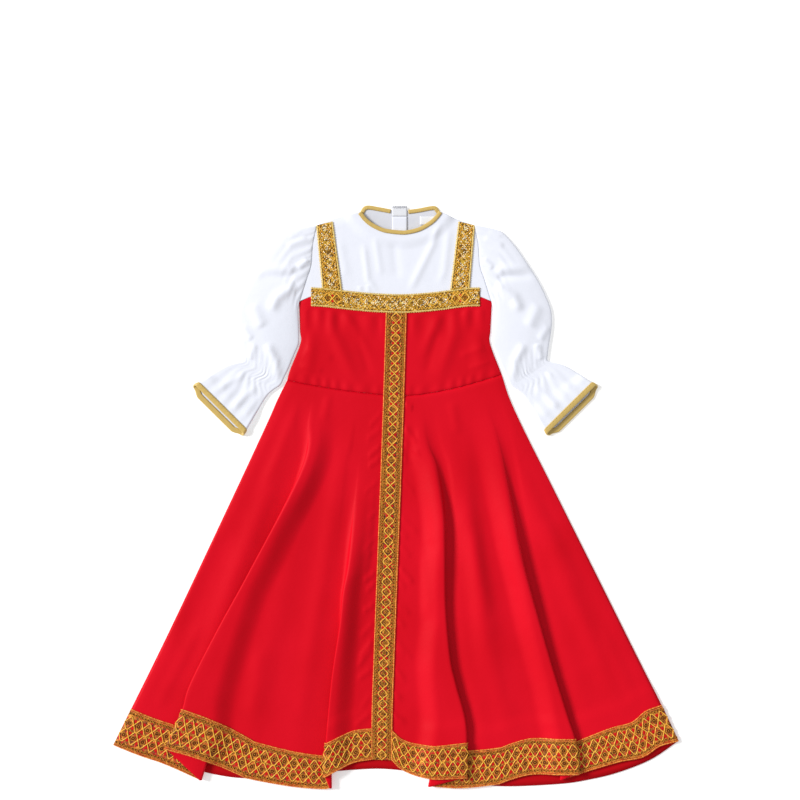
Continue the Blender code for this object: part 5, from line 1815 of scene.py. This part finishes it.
    def beads(self, ribbon: Ribbon, cords: Needlework, sparkles: Needlework, plain: Sequence[Span]) -> None:
        """Beads in clusters, beside the clusters and loose, and gold ones beside every third of them.

        Args:
            ribbon: the trim.
            cords: where the gold beads go.
            sparkles: where the beads go whose near-white colour is a painted glint.
            plain: stretches of its length that stay free.
        """
        random = np.random.default_rng(self.sparkle_seed)
        middle, length, clear = ribbon.width / 2, ribbon.length, self.bead_clear
        count = max(1, round(length / self.lace.pitch))
        eyes = (np.arange(count) + 0.5) * length / count
        spots = [(u + du, middle + dv) for u in eyes for du, dv in BEAD_CLUSTER]
        spots += [(u + 0.5 * length / count, middle + side * self.side_beads)
                  for u in eyes[:-1] for side in (-1, 1)]
        loose = int(length * ribbon.width / self.bead_area)
        spots += list(zip(random.uniform(clear, length - clear, loose),
                          random.uniform(2 * clear, ribbon.width - 2 * clear, loose)))
        gold = np.array(spots)[::self.gold_bead_step] + self.gold_bead_shift
        for work, radius, shown in ((sparkles, self.sparkle, np.array(spots)),
                                    (cords, self.gold_bead, gold)):
            u, v = shown.T
            kept = (u > clear) & (u < length - clear) & (np.abs(v - middle) <= middle - 2)
            for start, end in plain:
                kept &= (u < start) | (u > end)
            place = shown[kept] + random.uniform(-self.bead_stray, self.bead_stray, shown[kept].shape)
            work.beads(*ribbon.place(*place.T, self.bead_lift), radius, self.bead_height)

    def bright(self, name: str, grid: Array, run: Run, plain: Sequence[Span] = ()) -> None:
        """A bright trim: net, swinging cords, corded and scalloped edges and small beads.

        Args:
            name: the trim's node.
            grid: its points.
            run: the way that it runs on them.
            plain: stretches of its length that hold a darker chain in place of beads.
        """
        base = enter(sheet_mesh(name + "_net", grid, BRIGHT_NET, self.net, run=run), Slot.BRIGHT, name)
        ribbon = Ribbon(grid, run)
        cords, picots, sparkles, threads = Needlework(), Needlework(), Needlework(), Threads()
        self.bright_cords(ribbon, cords, picots)
        self.beads(ribbon, cords, sparkles, plain)
        for stretch in plain:
            start, end = np.searchsorted(grid[0, :, 0] - grid[0, 0, 0], stretch)
            crossing = Ribbon(grid[:, start:end + 1], run)
            self.lace.chain(threads, crossing, ribbon.width / 2, self.bright_half)
        # The sparkles' near-white colour is a painted glint
        parts = [cords.piece(name + "_cords", GOLD_THREAD, Slot.BRIGHT),
                 picots.piece(name + "_picots", PALE_THREAD, Slot.BRIGHT),
                 sparkles.piece(name + "_sparkles", PAINTED_GLINT_BEAD, Slot.BRIGHT)]
        parts += threads.pieces(name + "_crossing")

    def chest_band(self) -> None:
        """Bright band over the chest seam."""
        x = np.linspace(self.chest_left, self.chest_right, self.chest_columns)[None, :]
        across = np.linspace(CHEST_BAND_HALF, -CHEST_BAND_HALF, self.bright_points)[:, None]
        y = y_at(CHEST_SEAM, x) + across
        grid = lifted(grid_of(x, y, FRONT_Z), TRIM_LIFT)
        first = grid[0, 0, 0]
        plain = [tuple(float(edge) - first for edge in sorted(corners[2:])) for corners in STRAPS.values()]
        self.bright("chest_band", grid, Run.ACROSS, plain)

    def strap(self, name: str) -> None:
        """Bright strap from the shoulder seam to the chest band, between its four corners."""
        top_left, top_right, low_right, low_left = STRAPS[name]
        over = CHEST_BAND_HALF + self.strap_gap
        ends = [np.array([x, float(y_at(CHEST_SEAM, x)) + over]) for x in (low_left, low_right)]
        t = np.linspace(0, 1, self.strap_rows)[:, None, None]
        f = np.linspace(0, 1, self.bright_points)[None, :, None]
        upper = np.array(top_left) + (np.array(top_right) - np.array(top_left)) * f
        plan = upper * (1 - t) + (ends[0] + (ends[1] - ends[0]) * f) * t
        x, y = plan[:, :, 0], plan[:, :, 1]
        grid = lifted(grid_of(x, y, self.yoke.base(x, y)), TRIM_LIFT)
        self.bright(name, grid, Run.DOWN)

    def build(self) -> None:
        """Makes every trim."""
        self.hem_back()
        self.hem_front()
        self.centre_band()
        self.chest_band()
        for name in STRAPS:
            self.strap(name)


# Closure


Box = tuple[float, float, float, float]


@dataclass
class Closure:
    """White placket strip, hook tape tab and bare label inside the back neck."""

    yoke: Yoke
    columns: int = 16
    lift: float = 1.2
    crown: float = 0.3
    bevel: float = 2
    tape: float = 0.7
    fibre_seed: int = 3
    fibres: int = 130
    fibre: float = 0.13
    fibre_z: float = 3.4
    fibre_rise: float = 1.2
    fibre_inset: float = 0.5
    fibre_low: float = 447.2
    fibre_high: float = 451
    fibre_lean: Span = (-0.8, 0.8)
    fibre_length: Span = (0.8, 1.9)
    fibre_points: int = 4
    fibre_bow: float = 0.4
    placket_box: Box = (CLOSURE_LEFT, CLOSURE_RIGHT, 301, 435.4)
    tab_box: Box = (CLOSURE_LEFT, CLOSURE_RIGHT, 436, 451.4)
    label_box: Box = (37.2, 63.6, 422.5, 435.5)

    def patch(self, name: str, node: str, box: Box, steps: int, finish: ClothFinish, slot: Slot) -> None:
        """A rectangle on the yoke back, with its corners and edges softly lowered.

        Args:
            name: the piece's name.
            node: the node that it stands for.
            box: left, right, low and high.
            steps: rows of points.
            finish: its cloth.
            slot: not used.
        """
        left, right, low, high = box
        x, y = np.meshgrid(np.linspace(left, right, self.columns), np.linspace(high, low, steps))
        edge = np.minimum(np.minimum(x - left, right - x), np.minimum(y - low, high - y))
        z = self.yoke.back_height(x, y) + self.lift + self.crown * smooth(edge / self.bevel)
        piece = enter(sheet_mesh(name, grid_of(x, y, z), finish, self.tape), slot, node)

    def fuzz(self) -> None:
        """Short loops of hook tape along the tab's upper edge, uneven in length and lean."""
        random = np.random.default_rng(self.fibre_seed)
        x = random.uniform(CLOSURE_LEFT + self.fibre_inset, CLOSURE_RIGHT - self.fibre_inset, self.fibres)
        y = random.uniform(self.fibre_low, self.fibre_high, self.fibres)
        s = np.linspace(0, 1, self.fibre_points)[None, :]
        lean = random.uniform(*self.fibre_lean, (self.fibres, 1))
        size = random.uniform(*self.fibre_length, (self.fibres, 1))
        z = self.fibre_z + self.fibre_rise * size * s * (1 - self.fibre_bow * s)
        points = grid_of(x[:, None] + lean * s, y[:, None] + size * s, z)
        work = Needlework()
        work.cords(points, np.broadcast_to([0, 0, 1], points.shape), self.fibre, sides=3)
        work.piece("closure_tab_loops", WHITE_THREAD, Slot.TAPE)

    def build(self) -> None:
        """Makes the placket, the tab and the label."""
        self.patch("placket_cloth", "back_placket", self.placket_box, 60, WHITE_CLOTH, Slot.WHITE)
        self.patch("closure_tab_tape", "closure_tab", self.tab_box, 16, WHITE_TAPE, Slot.TAPE)
        self.patch("neck_label_satin", "neck_label", self.label_box, 14, LABEL_SATIN, Slot.TAPE)
        self.fuzz()


# Studio


@dataclass(frozen=True)
class Studio:
    """Pale floor, one soft light and a camera straight above, in metres and degrees."""

    centre_x: float = 0.0062
    centre_y: float = 0.1508
    view_width: float = 1.24
    lens: float = 85
    sensor: float = 36
    softness: float = 18
    key: float = 3.30
    fill: float = 0.52
    glow: float = 0.3
    key_azimuth: float = 70
    key_elevation: float = 33
    cloth_height: float = 0.004
    far: float = 20
    floor_half: float = 30
    floor_tone: float = 0.93

    def camera(self) -> None:
        """The camera, at the height from which the view is view_width wide."""
        data = bpy.data.cameras.new("overhead")
        data.lens = self.lens
        data.sensor_width = self.sensor
        data.clip_end = self.far
        eye = bpy.data.objects.new("overhead", data)
        height = self.view_width * self.lens / self.sensor + self.cloth_height
        eye.location = (self.centre_x, self.centre_y, height)
        bpy.context.collection.objects.link(eye)
        bpy.context.scene.camera = eye

    def light(self) -> None:
        """The light, soft and from far away. Its azimuth turns from +Y towards -X."""
        data = bpy.data.lights.new("key", "SUN")
        data.angle = math.radians(self.softness)
        data.energy = self.key
        lamp = bpy.data.objects.new("key", data)
        lamp.rotation_euler = (math.radians(90 - self.key_elevation), 0,
                               math.radians(180 + self.key_azimuth))
        bpy.context.collection.objects.link(lamp)

    def floor(self) -> None:
        """The floor, a square that glows a little."""
        mesh = bpy.data.meshes.new("floor")
        half = self.floor_half
        mesh.from_pydata([(-half, -half, 0), (half, -half, 0), (half, half, 0), (-half, half, 0)], [],
                         [(0, 1, 2, 3)])
        material, _, shader = new_material("pale_floor", 0.9, 0, 0)
        shader["Base Color"].default_value = (self.floor_tone, self.floor_tone, self.floor_tone, 1)
        shader["Emission Color"].default_value = (1, 1, 1, 1)
        shader["Emission Strength"].default_value = self.glow
        mesh.materials.append(material)
        floor = bpy.data.objects.new("floor", mesh)
        bpy.context.collection.objects.link(floor)

    def build(self) -> None:
        """Makes the floor, the world, the light and the camera."""
        self.floor()
        world = bpy.data.worlds.new("studio")
        world.use_nodes = True
        background = world.node_tree.nodes["Background"]
        background.inputs["Color"].default_value = (1, 1, 1, 1)
        background.inputs["Strength"].default_value = self.fill
        bpy.context.scene.world = world
        bpy.context.scene.view_settings.view_transform = "Standard"
        self.light()
        self.camera()


def main() -> None:
    """Builds the dress and its studio."""
    logging.basicConfig(level=logging.INFO, format="%(message)s")
    log.info("dressing %d solids", len(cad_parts))
    Studio().build()
    skirt, bodice, yoke = Skirt(), Bodice(), Yoke()
    for part in (skirt, bodice, yoke):
        part.build()
    Bindings().build(Sleeve().build())
    Trims(Lace(), skirt, yoke).build()
    Closure(yoke).build()


if __name__ == "__main__":
    main()
